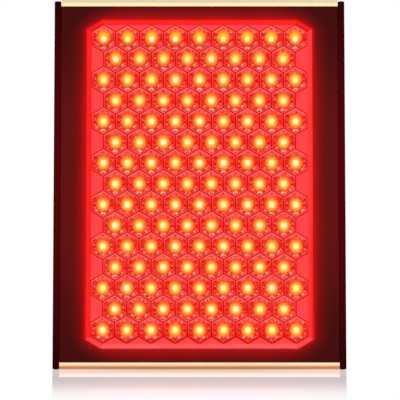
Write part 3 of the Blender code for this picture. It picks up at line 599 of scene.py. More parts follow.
body = m.mix(m.math("MULTIPLY", m.smooth(r, 0.425, 0.455), 0.8), body, web)

# the glow of the chip through the lens
away = m.math("SQRT", m.math("ADD", m.math("MULTIPLY", u, u),
                             m.math("MULTIPLY", m.math("MULTIPLY", w, w), 0.90)))
away = m.math("ADD", away, m.math("MULTIPLY", m.math("SUBTRACT", drift, 0.5), 0.03))
away = m.math("SUBTRACT", away, m.math("MULTIPLY", m.smooth(north, -0.40, -0.80),
                                       m.math("MULTIPLY_ADD", down, -0.006, 0.020)))
ragged = m.noise(m.place(), 330.0, 2.0)
away = m.math("ADD", away, m.math("MULTIPLY", m.math("MULTIPLY", m.math("SUBTRACT", ragged, 0.5),
                                                     m.smooth(away, 0.10, 0.24)), 0.10))
warm = m.ramp(away, [(0.00, (254, 222, 104)), (0.10, (253, 220, 104)), (0.14, (248, 188, 70)),
                     (0.18, (249, 158, 50)), (0.22, (251, 128, 42)), (0.26, (248, 103, 38)),
                     (0.30, (243, 80, 32)), (0.34, (232, 54, 26))])
high = m.ramp(away, [(0.00, (252, 222, 70)), (0.08, (245, 202, 46)), (0.13, (246, 184, 28)),
                     (0.18, (252, 162, 26)), (0.22, (251, 138, 38)), (0.26, (249, 112, 50)),
                     (0.31, (245, 86, 52))])
up = m.math("POWER", 2.718, m.math("MULTIPLY", down, -8.0))
glow = m.mix(up, warm, high)
colour = m.mix(m.smooth(away, 0.36, 0.245), body, glow)

# dimples at the corners: painted shade in each middle, inside a ring of painted highlight that is
# brightest where the ring faces the floor
to_dimple = spot(pi / 6, DIMPLE_AT)
to_shadow = spot(0.0, SHADOW_AT, 1.45)
patchy = m.noise(m.place(), 260.0, 2.0, 0.5)
lucky = m.math("ADD", m.math("MULTIPLY", m.smooth(patchy, 0.34, 0.62), 0.95),
               m.math("MULTIPLY", luck, 0.40))
foot = m.smooth(north, -0.82, -0.92)
nadir = m.smooth(north, -0.955, -0.988)
low_rows = m.smooth(down, 0.45, 1.0)
last_row = m.smooth(down, 0.95, 0.99)
ring = m.smooth(m.math("ABSOLUTE", m.math("SUBTRACT", to_dimple, 0.084)), 0.052, 0.010)
inside = m.smooth(r, 0.452, 0.402)
power = m.math("ADD", 0.05, m.math("MULTIPLY", foot, 1.12))
power = m.math("SUBTRACT", power, m.math("MULTIPLY", m.math("MULTIPLY", nadir, low_rows), 0.62))
power = m.math("MAXIMUM", m.math("SUBTRACT", power, m.math(
    "MULTIPLY", m.math("MULTIPLY", m.smooth(north, -0.4, -0.7), last_row), 1.2)), 0.0)
pale = m.math("MULTIPLY", m.math("MULTIPLY", ring, inside), m.math("MULTIPLY", power, lucky))
pale = m.math("MULTIPLY", pale, m.math("SUBTRACT", 1.0, m.math("MULTIPLY", nadir, 0.40)))
# at the foot itself the glint is a flat dash
flat_v = m.math("MULTIPLY", m.math("ADD", v, 0.388), 2.4)
flat_dash = m.smooth(m.math("SQRT", m.math("ADD", m.math("MULTIPLY", u, u),
                                           m.math("MULTIPLY", flat_v, flat_v))), 0.125, 0.045)
flat_dash = m.math("MULTIPLY", flat_dash, m.math("SUBTRACT", 0.42, m.math(
    "MULTIPLY_ADD", low_rows, 0.30, m.math("MULTIPLY", last_row, 0.12))))
pale = m.math("ADD", pale, m.math("MULTIPLY", flat_dash, lucky))
# painted highlight: the lens is painted paler by its lower right corner and below the foot
corner_painted_glint = m.math("MULTIPLY", m.math("MULTIPLY", m.smooth(east, 0.50, 0.72),
                                        m.smooth(north, -0.28, -0.48)), m.smooth(r, 0.385, 0.440))
corner_painted_glint = m.math("ADD", m.math("MULTIPLY", corner_painted_glint, 0.085), m.math(
    "MULTIPLY", m.math("MULTIPLY", m.smooth(north, -0.95, -0.985), m.smooth(r, 0.43, 0.47)), 0.06))
pale = m.math("ADD", pale, m.math("MULTIPLY", corner_painted_glint, m.smooth(hexagon, 0.484, 0.466)))
# painted highlight: a bright dash on each side of the foot, longer than wide and in line with the
# lens's edge
dash_u = m.math("ADD", au, m.math("MULTIPLY_ADD", down, 0.020, m.math(
    "MULTIPLY_ADD", m.smooth(east, -0.3, 0.3), -0.012, -0.280)))
dash_v = m.math("ADD", v, m.math("MULTIPLY_ADD", down, 0.045, m.math(
    "MULTIPLY_ADD", m.smooth(east, -0.3, 0.3), -0.010, 0.236)))
dash_along = m.math("ADD", m.math("MULTIPLY", dash_u, 0.695), m.math("MULTIPLY", dash_v, 0.719))
dash_across = m.math("SUBTRACT", m.math("MULTIPLY", dash_u, 0.719),
                     m.math("MULTIPLY", dash_v, 0.695))
dash_across = m.math("MULTIPLY", dash_across, 1.7)
dash = m.smooth(m.math("SQRT", m.math("ADD", m.math("MULTIPLY", dash_along, dash_along),
                                      m.math("MULTIPLY", dash_across, dash_across))), 0.100, 0.020)
dash = m.math("MULTIPLY", dash, m.math("ADD", 0.46, m.math("MULTIPLY", m.smooth(east, -0.3, 0.3),
                                                           0.26)))
dash = m.math("MULTIPLY", dash, m.math("SUBTRACT", 1.0, m.math("MULTIPLY", last_row, 0.85)))
pale = m.math("ADD", pale, m.math("MULTIPLY", dash, lucky))
# the lowest row has two round glints there instead
dot_u = m.math("SUBTRACT", au, 0.173)
dot_v = m.math("ADD", v, 0.301)
dot = m.smooth(m.math("SQRT", m.math("ADD", m.math("MULTIPLY", dot_u, dot_u),
                                     m.math("MULTIPLY", dot_v, dot_v))), 0.082, 0.020)
pale = m.math("ADD", pale, m.math("MULTIPLY", m.math("MULTIPLY", dot, last_row), m.math(
    "MULTIPLY_ADD", luck, 0.15, 0.45)))
# a row of painted glints and painted shade along each upright flat, pale and dark by turns
bead_noise = m.noise(m.place(), 620.0, 1.0)
bead_v = m.math("ADD", v, 0.046)
bead_wave = m.math("COSINE", m.math("MULTIPLY", bead_v, 2 * pi / 0.194))
bead_line = m.math("MULTIPLY", m.smooth(m.math("ABSOLUTE", m.math("SUBTRACT", au, 0.358)),
                                        0.050, 0.012),
                   m.smooth(m.math("ABSOLUTE", bead_v), 0.160, 0.120))
bead_painted_glint = m.math("MULTIPLY", m.math("MULTIPLY", bead_line, m.smooth(bead_wave, -0.10, -0.85)),
                   m.smooth(bead_noise, 0.36, 0.66))
low_left = m.math("MULTIPLY", m.smooth(east, 0.0, -0.5), m.smooth(v, 0.0, -0.08))
pale = m.math("ADD", pale, m.math("MULTIPLY", bead_painted_glint, m.math("MULTIPLY_ADD", low_left,
                                                                -0.20, 0.46)))
bead_painted_shade = m.math("MULTIPLY", m.math("MULTIPLY", bead_line, m.smooth(bead_wave, 0.15, 0.80)),
                   m.smooth(bead_noise, 0.60, 0.38))
# and four painted glints along its upper edge, plainest in the lower rows
left_half = m.smooth(east, 0.1, -0.1)
top_wave = m.math("SUBTRACT", m.math("SUBTRACT", au, 0.120), m.math("MULTIPLY", left_half, 0.013))
top_wave = m.math("MULTIPLY", top_wave, m.math("MULTIPLY_ADD", left_half, 2.06, 6.71))
top_wave = m.math("COSINE", m.math("MULTIPLY", top_wave, 2 * pi))
top_line = m.math("MULTIPLY", m.smooth(m.math("ABSOLUTE", m.math("SUBTRACT", r, 0.402)),
                                       0.046, 0.014),
                  m.math("MULTIPLY", m.smooth(north, 0.60, 0.70), m.smooth(au, 0.045, 0.080)))
top_painted_glint = m.math("MULTIPLY", m.math("MULTIPLY", top_line, m.smooth(top_wave, 0.0, 0.85)),
                  m.smooth(bead_noise, 0.34, 0.62))
pale = m.math("ADD", pale, m.math("MULTIPLY", top_painted_glint, m.math("MULTIPLY_ADD", low_rows, 0.24,
                                                               m.math("MULTIPLY_ADD", last_row,
                                                                      0.12, 0.22))))
# the first row's painted glints are wider at its upper corners
high_u, high_v = m.math("SUBTRACT", au, 0.312), m.math("SUBTRACT", v, 0.272)
high_dot = m.smooth(m.math("SQRT", m.math("ADD", m.math("MULTIPLY", high_u, high_u),
                                          m.math("MULTIPLY", high_v, high_v))), 0.075, 0.020)
pale = m.math("ADD", pale, m.math("MULTIPLY", m.math("MULTIPLY", high_dot, 0.24),
                                  m.smooth(down, 0.05, 0.02)), clamp=True)
# painted shade: the dimples' middles, the hollows between them and the beads' dark turns are painted
# dark red
west = m.smooth(east, 0.25, -0.35)
gloom = m.math("ADD", 0.30, m.math("MULTIPLY", m.smooth(m.math("ABSOLUTE", north), 0.9, 0.6),
                                   m.math("ADD", 0.25, m.math("MULTIPLY", west, 0.45))))
painted_pit_shade = m.math("MULTIPLY", m.smooth(to_dimple, 0.062, 0.012), gloom)
painted_pit_shade = m.math("MULTIPLY", painted_pit_shade, m.smooth(r, 0.50, 0.45))
painted_hollow_shade = m.math("MULTIPLY", m.smooth(to_shadow, 0.055, 0.012),
                m.math("ADD", 0.85, m.math("MULTIPLY", m.smooth(north, 0.2, 0.9), -0.70)))
painted_hollow_shade = m.math("MULTIPLY", painted_hollow_shade, m.math("SUBTRACT", 1.0, m.math("MULTIPLY", foot, last_row)))
painted_hollow_shade = m.math("MAXIMUM", painted_hollow_shade, m.math("MULTIPLY", bead_painted_shade, 0.8))
dark = m.math("MULTIPLY", m.math("MAXIMUM", painted_pit_shade, painted_hollow_shade),
              m.math("ADD", 0.75, m.math("MULTIPLY", luck2, 0.35)), clamp=True)
colour = m.mix(dark, colour, linear((206, 10, 6)))
# painted shade: darker patches at the lens's upper sides and lower left, most on the left, and in every
# row but the first one more in its upper left corner
shade_u = m.math("SUBTRACT", au, 0.283)
shade_v = m.math("MINIMUM", m.math("ABSOLUTE", m.math("SUBTRACT", v, 0.205)),
                 m.math("ABSOLUTE", m.math("ADD", v, 0.215)))
shade_u = m.math("ADD", shade_u, m.math("MULTIPLY", m.smooth(v, 0.0, -0.1), -0.035))
shade = m.smooth(m.math("SQRT", m.math("ADD", m.math("MULTIPLY", shade_u, shade_u),
                                       m.math("MULTIPLY", shade_v, shade_v))), 0.092, 0.034)
shade = m.math("MULTIPLY", shade, m.math("MULTIPLY_ADD", west, 0.44, 0.20))
shade = m.math("MULTIPLY", shade, m.math("SUBTRACT", 1.0, m.math(
    "MULTIPLY", m.smooth(v, 0.0, -0.1), m.smooth(east, -0.2, 0.2))))
colour = m.mix(shade, colour, linear((222, 12, 8)))
corner_u, corner_v = m.math("ADD", u, 0.318), m.math("SUBTRACT", v, 0.262)
corner_shade = m.smooth(m.math("SQRT", m.math("ADD", m.math("MULTIPLY", corner_u, corner_u),
                                              m.math("MULTIPLY", corner_v, corner_v))),
                        0.085, 0.030)
corner_shade = m.math("MULTIPLY", m.math("MULTIPLY", corner_shade, 0.55),
                      m.smooth(down, 0.02, 0.05))
colour = m.mix(corner_shade, colour, linear((214, 8, 6)))
# painted shade: a darker patch at the top of the lens
top_v = m.math("SUBTRACT", v, 0.405)
top_painted_shade = m.smooth(m.math("SQRT", m.math("ADD", m.math("MULTIPLY", u, u),
                                         m.math("MULTIPLY", top_v, top_v))), 0.085, 0.030)
colour = m.mix(m.math("MULTIPLY", top_painted_shade, 0.16), colour, linear((214, 16, 10)))
colour = m.mix(pale, colour, m.mix(m.smooth(r, 0.33, 0.42), linear((255, 205, 150)),
                                   linear((255, 205, 192))))
# fine specks all over the lens outside its glow
specks = m.noise(m.place(), 600.0, 2.0, 0.6)
outer_zone = m.math("MULTIPLY", m.smooth(r, 0.22, 0.33), m.smooth(hexagon, 0.470, 0.455))
bright_specks = m.math("MULTIPLY_ADD", m.smooth(m.math("ABSOLUTE", north), 0.50, 0.80), 0.24, 0.16)
colour = m.mix(m.math("MULTIPLY", m.math("MULTIPLY", m.smooth(specks, 0.53, 0.68), outer_zone),
                      bright_specks), colour, linear((255, 144, 130)))
colour = m.mix(m.math("MULTIPLY", m.math("MULTIPLY", m.smooth(specks, 0.47, 0.31), outer_zone),
                      0.92), colour, linear((196, 8, 4)))

# the square chip
chip_v = m.math("ABSOLUTE", m.math("ADD", v, 0.010))
square = m.math("POWER", m.math("ADD", m.math("POWER", au, 3.2), m.math("POWER", chip_v, 3.2)),
                1 / 3.2)
core = m.mix(m.smooth(luck2, 0.35, 0.95), linear((255, 253, 170)), linear((255, 255, 216)))
colour = m.mix(m.smooth(square, 0.124, 0.068), colour, core)

# painted highlight on the raised edge of the lens, strongest along its upper side; then the groove
painted_edge_highlight = m.math("ADD", m.math("MULTIPLY", m.smooth(v, -0.05, 0.35),
                              m.math("MULTIPLY_ADD", m.smooth(u, 0.0, 0.15), -0.13, 0.40)),
                m.math("MULTIPLY", m.smooth(au, 0.46, 0.30),
                       m.math("MULTIPLY_ADD", m.smooth(v, -0.1, 0.1), 0.07, 0.05)))
painted_edge_highlight = m.math("ADD", painted_edge_highlight, m.math("MULTIPLY", m.smooth(u, 0.2, -0.4), 0.08))
painted_edge_highlight = m.math("ADD", painted_edge_highlight, 0.03)
edge = m.math("MULTIPLY", m.smooth(hexagon, 0.425, 0.446), m.smooth(hexagon, 0.484, 0.470))
# painted shade: below the lowest row the groove is painted darker and wider
below = m.math("MULTIPLY", last_row, m.smooth(v, -0.10, -0.24))
edge = m.math("MULTIPLY", edge, m.math("SUBTRACT", 1.0, below))
painted_groove_shade = m.math("MULTIPLY", below, m.smooth(m.math("ABSOLUTE", m.math(
    "SUBTRACT", hexagon, 0.461)), 0.046, 0.012))
colour = m.mix(m.math("MULTIPLY", painted_groove_shade, 0.92), colour, linear((216, 14, 16)))
colour = m.mix(m.math("MULTIPLY", edge, painted_edge_highlight), colour, linear((255, 128, 122)))
colour = m.mix(m.smooth(hexagon, 0.468, 0.484), colour, linear((214, 0, 3)))
m.set(Base_Color=(0.040, 0.0010, 0.0008), Roughness=0.24, Specular_IOR_Level=0.04,
      Emission_Color=colour, Emission_Strength=1.0)

rim_mat = Nodes("lens_rim_lit")
m = rim_mat
# painted light: each bevel face is coloured by the way it turns, deep red on the left and top, paler on
# the right and palest below
facing = m.split(m.new("ShaderNodeNewGeometry").outputs["Normal"])
flat = m.smooth(m.math("MULTIPLY", facing[1], -1.0), 0.90, 0.98)
downward = m.smooth(m.math("MULTIPLY", facing[2], -1.0), 0.05, 0.50)
side = m.smooth(m.math("ABSOLUTE", facing[0]), 0.05, 0.24)
low = m.math("MULTIPLY", downward, m.math("SUBTRACT", 1.0, m.math("MULTIPLY", side, 0.50)))
right = m.smooth(facing[0], 0.10, 0.50)
# painted light: the right bevel is painted a little less pale on its lower half
upper = m.smooth(m.split(m.place())[2], 0.070, 0.190)
right = m.math("MULTIPLY", right, m.math("ADD", m.math(
    "MAXIMUM", m.math("MULTIPLY", upper, 0.42), m.math("MULTIPLY", downward, 0.55)), 0.68))
mitre = m.smooth(m.math("MULTIPLY", m.math("ABSOLUTE", facing[0]),
                        m.math("ABSOLUTE", facing[2])), 0.03, 0.09)
streak = m.noise(m.stretched(m.place(), 900.0, 1.0, 14.0), 1.0, 2.0)
broad = m.noise(m.place(), 60.0, 2.0)
bevel = m.mix(right, linear((255, 36, 36)), linear((255, 62, 64)))
bevel = m.mix(low, bevel, linear((255, 96, 94)))
bevel = m.mix(m.math("MULTIPLY", mitre, m.math("SUBTRACT", 1.0, downward)), bevel,
              linear((248, 30, 30)))
bevel = m.mix(m.math("MULTIPLY", m.smooth(broad, 0.35, 0.65), 0.18), bevel,
              linear((238, 20, 22)))
# painted shade: the bevel is painted darker towards its inner edge, most in the corners
across = m.split(m.place())[1]
painted_inner_shade = m.math("MULTIPLY", m.smooth(across, -0.0280, -0.0299),
                m.math("ADD", 0.22, m.math("MULTIPLY", mitre, 0.55)))
painted_inner_shade = m.math("MULTIPLY", painted_inner_shade, m.math("SUBTRACT", 1.0, m.math(
    "MULTIPLY", m.math("MAXIMUM", low, right), m.math("SUBTRACT", 0.85, mitre), clamp=True)))
painted_inner_shade = m.math("MULTIPLY", painted_inner_shade, m.math("SUBTRACT", 1.0, m.math(
    "MULTIPLY", m.math("MULTIPLY", downward, mitre), 0.75)))
bevel = m.mix(painted_inner_shade, bevel, linear((214, 8, 10)))
# painted shade: towards the panel the bevel is painted a deeper red, most on the right bevel's lower
# half
painted_outer_shade = m.math("MULTIPLY", m.smooth(facing[0], 0.10, 0.50), m.math("SUBTRACT", 1.0, upper))
painted_outer_shade = m.math("MULTIPLY", m.math("MULTIPLY_ADD", painted_outer_shade, 0.50, 0.32),
                m.math("SUBTRACT", 1.0, downward))
painted_outer_shade = m.math("MULTIPLY", painted_outer_shade, m.smooth(across, -0.0290, -0.0274))
bevel = m.mix(painted_outer_shade, bevel, linear((244, 14, 16)))
# painted shade: the lower bevel is painted darker where it meets the panel
bevel = m.mix(m.math("MULTIPLY", m.math("MULTIPLY", m.smooth(across, -0.0281, -0.0271), low), 0.84),
              bevel, linear((196, 16, 18)))
sheet_red = m.mix(m.math("MULTIPLY", m.smooth(streak, 0.3, 0.7), 0.5), linear((255, 66, 67)),
                  linear((255, 75, 80)))
m.set(Base_Color=(0.040, 0.0010, 0.0008), Roughness=0.26, Specular_IOR_Level=0.04,
      Emission_Color=m.mix(flat, bevel, sheet_red), Emission_Strength=1.0)

back_mat = finish("lens_back", (0.55, 0.012, 0.010), 0.35, specular=0.4, grain=600.0)
wear(lens, cell_mat, rim_mat, back_mat)
lens_mesh.polygons.foreach_set("material_index", slot_of)
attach(lens, "housing")
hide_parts("lens_plate")

# ---------------------------------------------------------------- front panel
panel_mat = Nodes("panel_paint")
m = panel_mat
x, y, z = m.split(m.place())
ax = m.math("ABSOLUTE", x)
az = m.math("SUBTRACT", z, LATTICE_Z * MM)
az = m.math("MAXIMUM", az, m.math("SUBTRACT", 0.0007, az))
reach = 5.0 * MM
d = (0.5 * 4 * PITCH + sqrt(3) / 2 * 7 * ROW_STEP + PITCH / 2) * MM + reach
past_side = m.math("SUBTRACT", ax, FIELD_W * MM + reach)
past_top = m.math("SUBTRACT", az, FIELD_H * MM + reach)
past_cut = m.math("SUBTRACT", m.math("MULTIPLY_ADD", az, sqrt(3) / 2,
                                     m.math("MULTIPLY", ax, 0.5)), d)


def beyond(value):
    return m.math("POWER", m.math("MAXIMUM", value, 0.0), 2.0)


out = m.math("SQRT", m.math("ADD", m.math("ADD", beyond(past_side), beyond(past_top)),
                            beyond(past_cut)))
near = m.math("DIVIDE", out, 0.030)
# painted light: the window's red light on the black panel is painted into its emission, strongest next
# to the window
painted_red_light = m.ramp(near, [(0.00, (234, 14, 12)), (0.025, (205, 10, 9)), (0.055, (184, 10, 9)),
                     (0.10, (168, 11, 9)), (0.16, (147, 11, 10)), (0.23, (131, 11, 10)),
                     (0.34, (111, 11, 10)), (0.50, (97, 11, 10)), (0.75, (84, 10, 10)),
                     (1.0, (76, 8, 8))])
cloud = m.noise(m.place(), 34.0, 3.0)
painted_red_light = m.mix(m.math("MULTIPLY", m.smooth(cloud, 0.3, 0.7), 0.16), painted_red_light, linear((66, 8, 9)))
# far from the window the painted glow is strongest half way up the case
level = m.span(m.smooth(az, 0.145, 0.045), 0.0, 1.0, 0.74, 1.28)
level = m.mix(m.smooth(near, 0.35, 0.80), (1, 1, 1), level)
painted_red_light = m.mix(1.0, painted_red_light, level, "MULTIPLY")
# painted shade: beside the window the painted glow falls off towards the corners, where fewer lenses
# shine on the face
beside = m.math("MULTIPLY", m.smooth(az, 0.055, 0.150), m.smooth(ax, 0.092, 0.106))
beside = m.math("MULTIPLY", beside, 0.41)
past_end = m.math("MULTIPLY", m.smooth(ax, 0.060, 0.097), m.smooth(az, 0.140, 0.152))
past_end = m.math("MULTIPLY", past_end, 0.27)
corner = m.math("MAXIMUM", beside, past_end)
corner = m.math("MULTIPLY", corner, m.smooth(near, 0.0, 0.10))
corner = m.math("MULTIPLY", corner, m.smooth(near, 0.88, 0.50))
painted_red_light = m.mix(corner, painted_red_light, (0, 0, 0, 1))
# the painted glow lies on the face only, and dims towards the upper and lower ends of the case
face = m.smooth(m.math("MULTIPLY", m.split(m.new("ShaderNodeNewGeometry").outputs["Normal"])[1],
                       -1.0), 0.55, 0.95)
grit = m.noise(m.place(), 2600.0, 3.0)
m.set(Base_Color=m.mix(m.smooth(grit, 0.3, 0.7), (0.0008, 0.0007, 0.0007, 1),
                       (0.0020, 0.0017, 0.0018, 1)),
      Roughness=m.span(grit, 0.3, 0.7, 0.46, 0.62), Specular_IOR_Level=0.03,
      Emission_Color=painted_red_light, Emission_Strength=face)
m.bump(grit, 0.00002)
wear(nodes["front_panel"], panel_mat)

# ---------------------------------------------------------------- side rails
rail_mat = Nodes("rail_anodised")
m = rail_mat
x, y, z = m.split(m.place())
lines = m.noise(m.stretched(m.place(), 3000.0, 3000.0, 22.0), 1.0, 3.0)
turned = m.split(m.new("ShaderNodeNewGeometry").outputs["Normal"])
toward = m.math("MULTIPLY", turned[1], -1.0)
face = m.smooth(toward, 0.45, 0.98)
inner_edge = m.smooth(m.math("ABSOLUTE", x), 0.1290, 0.1285)
face = m.math("MAXIMUM", face, m.math("MULTIPLY", inner_edge, m.smooth(toward, 0.05, 0.55)))
away_side = m.smooth(toward, 0.14, 0.02)
# painted light: red light from the window is painted into the emission of the rails' front, most half
# way up
middle = m.math("DIVIDE", m.math("ABSOLUTE", m.math("SUBTRACT", z, LATTICE_Z * MM)), 0.17)
lit = m.ramp(middle, [(0.0, (86, 3, 5)), (0.3, (83, 3, 5)), (0.6, (73, 2, 5)),
                      (0.77, (63, 2, 4)), (0.9, (51, 2, 4)), (1.0, (44, 1, 3))])
# painted shade: the painted light is darker along the rails' outer edges
outer = m.smooth(m.math("ABSOLUTE", x), 0.1316, 0.1334)
lit = m.mix(m.math("MULTIPLY", outer, 0.6), lit, linear((34, 0, 2)))
lit = m.mix(m.math("MULTIPLY", m.smooth(lines, 0.35, 0.7), 0.14), lit, linear((38, 1, 2)))
coating = m.mix(m.smooth(lines, 0.3, 0.7), (0.0090, 0.0088, 0.0094, 1),
                (0.0150, 0.0146, 0.0154, 1))
m.set(Base_Color=m.mix(away_side, m.mix(m.smooth(lines, 0.3, 0.7), (0.0006, 0.0005, 0.0005, 1),
                                        (0.0013, 0.0011, 0.0012, 1)), coating),
      Roughness=m.span(lines, 0.3, 0.7, 0.32, 0.44),
      Specular_IOR_Level=m.math("MULTIPLY", away_side, 0.30),
      Emission_Color=lit, Emission_Strength=face)
m.bump(lines, 0.000008)
for side in ("left", "right"):
    wear(nodes["side_rail_" + side], rail_mat)

# ---------------------------------------------------------------- end caps
gold = Nodes("champagne_brushed")
m = gold
x, y, z = m.split(m.place())
brush = m.noise(m.stretched(m.place(), 9.0, 2600.0, 2600.0), 1.0, 3.0, 0.6)
tone = m.noise(m.stretched(m.place(), 6.0, 30.0, 30.0), 1.0, 2.0)
grain = m.math("ADD", m.math("MULTIPLY", brush, 0.5), m.math("MULTIPLY", tone, 0.5))
# painted reflection and shade: the lower bar is painted pale at its upper edge and bronze towards the
# floor, the upper bar pale
lower = m.ramp(m.math("DIVIDE", z, 0.0065),
               [(0.00, (206, 158, 128)), (0.15, (197, 142, 106)), (0.28, (189, 125, 84)),
                (0.44, (224, 163, 117)), (0.58, (253, 207, 161)), (0.72, (255, 231, 190)),
                (0.92, (255, 246, 214))])
upper = m.ramp(m.math("DIVIDE", m.math("SUBTRACT", z, 0.3329), 0.0065),
               [(0.05, (255, 241, 196)), (0.25, (255, 246, 188)), (0.42, (255, 246, 190)),
                (0.56, (243, 226, 178)), (0.70, (236, 203, 170)), (0.80, (255, 226, 200)),
                (1.0, (255, 246, 232))])
tint_and_painted_shading = m.mix(m.smooth(z, 0.10, 0.20), lower, upper)
front = m.smooth(y, -0.0225, -0.0285)
tint_and_painted_shading = m.mix(front, linear((240, 214, 178)), tint_and_painted_shading)
tint_and_painted_shading = m.mix(m.math("MULTIPLY", m.smooth(grain, 0.35, 0.65), 0.10), tint_and_painted_shading,
             linear((214, 168, 120)))
m.set(Base_Color=tint_and_painted_shading, Roughness=m.span(brush, 0.3, 0.7, 0.24, 0.38), Metallic=1.0)
m.bump(brush, 0.000004)

# ---------------------------------------------------------------- dark strips under the end caps, standing in for the shade in the gaps there
def bar(name, low, high):
    """A closed box between two corners, in millimetres."""
    x0, y0, z0 = [c * MM for c in low]
    x1, y1, z1 = [c * MM for c in high]
    verts = [(x, y, z) for z in (z0, z1) for x, y in ((x0, y0), (x1, y0), (x1, y1), (x0, y1))]
    faces = [(3, 2, 1, 0), (4, 5, 6, 7), (0, 1, 5, 4), (1, 2, 6, 5), (2, 3, 7, 6), (3, 0, 4, 7)]
    mesh = bpy.data.meshes.new(name)
    mesh.from_pydata(verts, [], faces)
    obj = bpy.data.objects.new(name, mesh)
    scene.collection.objects.link(obj)
    return obj


foam = finish("seal_foam", (0.012, 0.011, 0.011), 0.85, specular=0.1, grain=1800.0,
              depth=0.00003)
for name, low, high in (("seal_upper", (-125.5, -26.6, 332.6), (125.5, -24.4, 336.0)),
                        ("seal_lower", (-125.5, -26.6, 3.2), (125.5, -24.4, 6.8))):
    seal = bar(name, low, high)
    wear(seal, foam)
    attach(seal, "housing")

# ---------------------------------------------------------------- shapes for the back and the fasteners
def even(count, start=0.0):
    return [start + k * 2 * pi / count for k in range(count)]


def rounded(half_w, half_h, radius, steps=5):
    """A rectangle's outline with round corners, counter-clockwise."""
    points = []
    for k, (sx, sy) in enumerate(((1, 1), (-1, 1), (-1, -1), (1, -1))):
        cx, cy = sx * (half_w - radius), sy * (half_h - radius)
        for n in range(steps + 1):
            a = k * pi / 2 + n / steps * pi / 2
            points.append((cx + radius * cos(a), cy + radius * sin(a)))
    return points


def round_corners(points, radius, steps=4):
    """A convex outline, counter-clockwise, with each corner rounded."""
    out = []
    for k, p in enumerate(points):
        p, a, b = Vector(p), Vector(points[k - 1]), Vector(points[(k + 1) % len(points)])
        to_a, to_b = (a - p).normalized(), (b - p).normalized()
        half = to_a.angle(to_b) / 2
        centre = p + (to_a + to_b).normalized() * (radius / sin(half))
        first = p + to_a * (radius / tan(half)) - centre
        last = p + to_b * (radius / tan(half)) - centre
        turn = first.angle(last)
        sense = 1 if first.cross(last) > 0 else -1
        for n in range(steps + 1):
            t = sense * turn * n / steps
            out.append((centre.x + first.x * cos(t) - first.y * sin(t),
                        centre.y + first.x * sin(t) + first.y * cos(t)))
    return out


def reach(points, grow=0.0):
    """The distance from the middle to an outline, for an angle."""
    def distance(a):
        d = (cos(a), sin(a))
        best = None
        for k in range(len(points)):
            (px, py), (qx, qy) = points[k - 1], points[k]
            ex, ey = qx - px, qy - py
            low = d[0] * ey - d[1] * ex
            if abs(low) < 1e-12:
                continue
            t = (px * ey - py * ex) / low
            s = (px * d[1] - py * d[0]) / low
            if t > 0 and -1e-6 <= s <= 1 + 1e-6:
                best = t if best is None else max(best, t)
        return best + grow
    return distance


def directions(*outlines):
    """The angles of all the outlines' points."""
    found = sorted(atan2(y, x) % (2 * pi) for points in outlines for x, y in points)
    kept = []
    for a in found:
        if not kept or a - kept[-1] > 1e-4:
            kept.append(a)
    return kept


def cross_reach(half, arm):
    """A cross-shaped recess."""
    corner = atan2(half, arm)

    def distance(a):
        a = abs((a + pi / 4) % (pi / 2) - pi / 4)
        return arm / cos(a) if a <= corner + 1e-9 else half / sin(a)
    return distance


def cross_angles(half, arm):
    corner = atan2(half, arm)
    return sorted(k * pi / 2 + a for k in range(4)
                  for a in (0.0, corner, 0.5 * (corner + pi / 4), pi / 4,
                            pi / 2 - 0.5 * (corner + pi / 4), pi / 2 - corner))


class Skin:
    """Closed skins gathered into one mesh, in millimetres."""

    def __init__(self, name):
        self.name, self.bm = name, bmesh.new()

    def bridge(self, one, two, slot):
        n = max(len(one), len(two))
        for k in range(n):
            j = (k + 1) % n
            corners = [one[k], one[j]] if len(one) > 1 else [one[0]]
            corners += [two[j], two[k]] if len(two) > 1 else [two[0]]
            self.bm.faces.new(corners).material_index = slot

    def loops(self, loops, closed=False, slot=0):
        rings = []
        for loop in loops:
            rings.append([self.bm.verts.new(Vector(p) * MM) for p in loop])
        for one, two in zip(rings, rings[1:] + rings[:1] if closed else rings[1:]):
            self.bridge(one, two, slot)
        if not closed:
            for end in (rings[0], rings[-1]):
                if len(end) > 1:
                    self.bm.faces.new(end).material_index = slot
        return self

    def loft(self, rings, angles, put, closed=False, slot=0):
        """Rings about one axis, each (radius or its value for an angle, depth)."""
        made = []
        for radius, depth in rings:
            if not callable(radius) and radius == 0:
                made.append([put(0.0, 0.0, depth)])
                continue
            size = radius if callable(radius) else (lambda a, r=radius: r)
            made.append([put(size(a) * cos(a), size(a) * sin(a), depth) for a in angles])
        return self.loops(made, closed, slot)

    def tube(self, points, radius, up=(0, 1, 0), sides=10, closed=False, slot=0):
        """A round wire along points in a plane across up."""
        up, points = Vector(up), [Vector(p) for p in points]
        n, made = len(points), []
        for k, p in enumerate(points):
            before = points[k - 1] if closed or k else p
            after = points[(k + 1) % n] if closed or k < n - 1 else p
            side = (after - before).normalized().cross(up).normalized()
            made.append([p + (side * cos(a) + up * sin(a)) * radius for a in even(sides)])
        return self.loops(made, closed, slot)

    def object(self, *materials, sharp=32.0, body="housing", slot=None, replaces=()):
        bmesh.ops.recalc_face_normals(self.bm, faces=self.bm.faces)
        mesh = bpy.data.meshes.new(self.name)
        self.bm.to_mesh(mesh)
        self.bm.free()
        for m in materials:
            mesh.materials.append(m.material if isinstance(m, Nodes) else m)
        mesh.shade_smooth()
        mesh.set_sharp_from_angle(angle=radians(sharp))
        obj = bpy.data.objects.new(self.name, mesh)
        scene.collection.objects.link(obj)
        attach(obj, body)
        if replaces:
            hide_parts(*replaces)
        return obj


def rearward(cx, cz):
    return lambda a, b, d: (cx + a, d, cz + b)


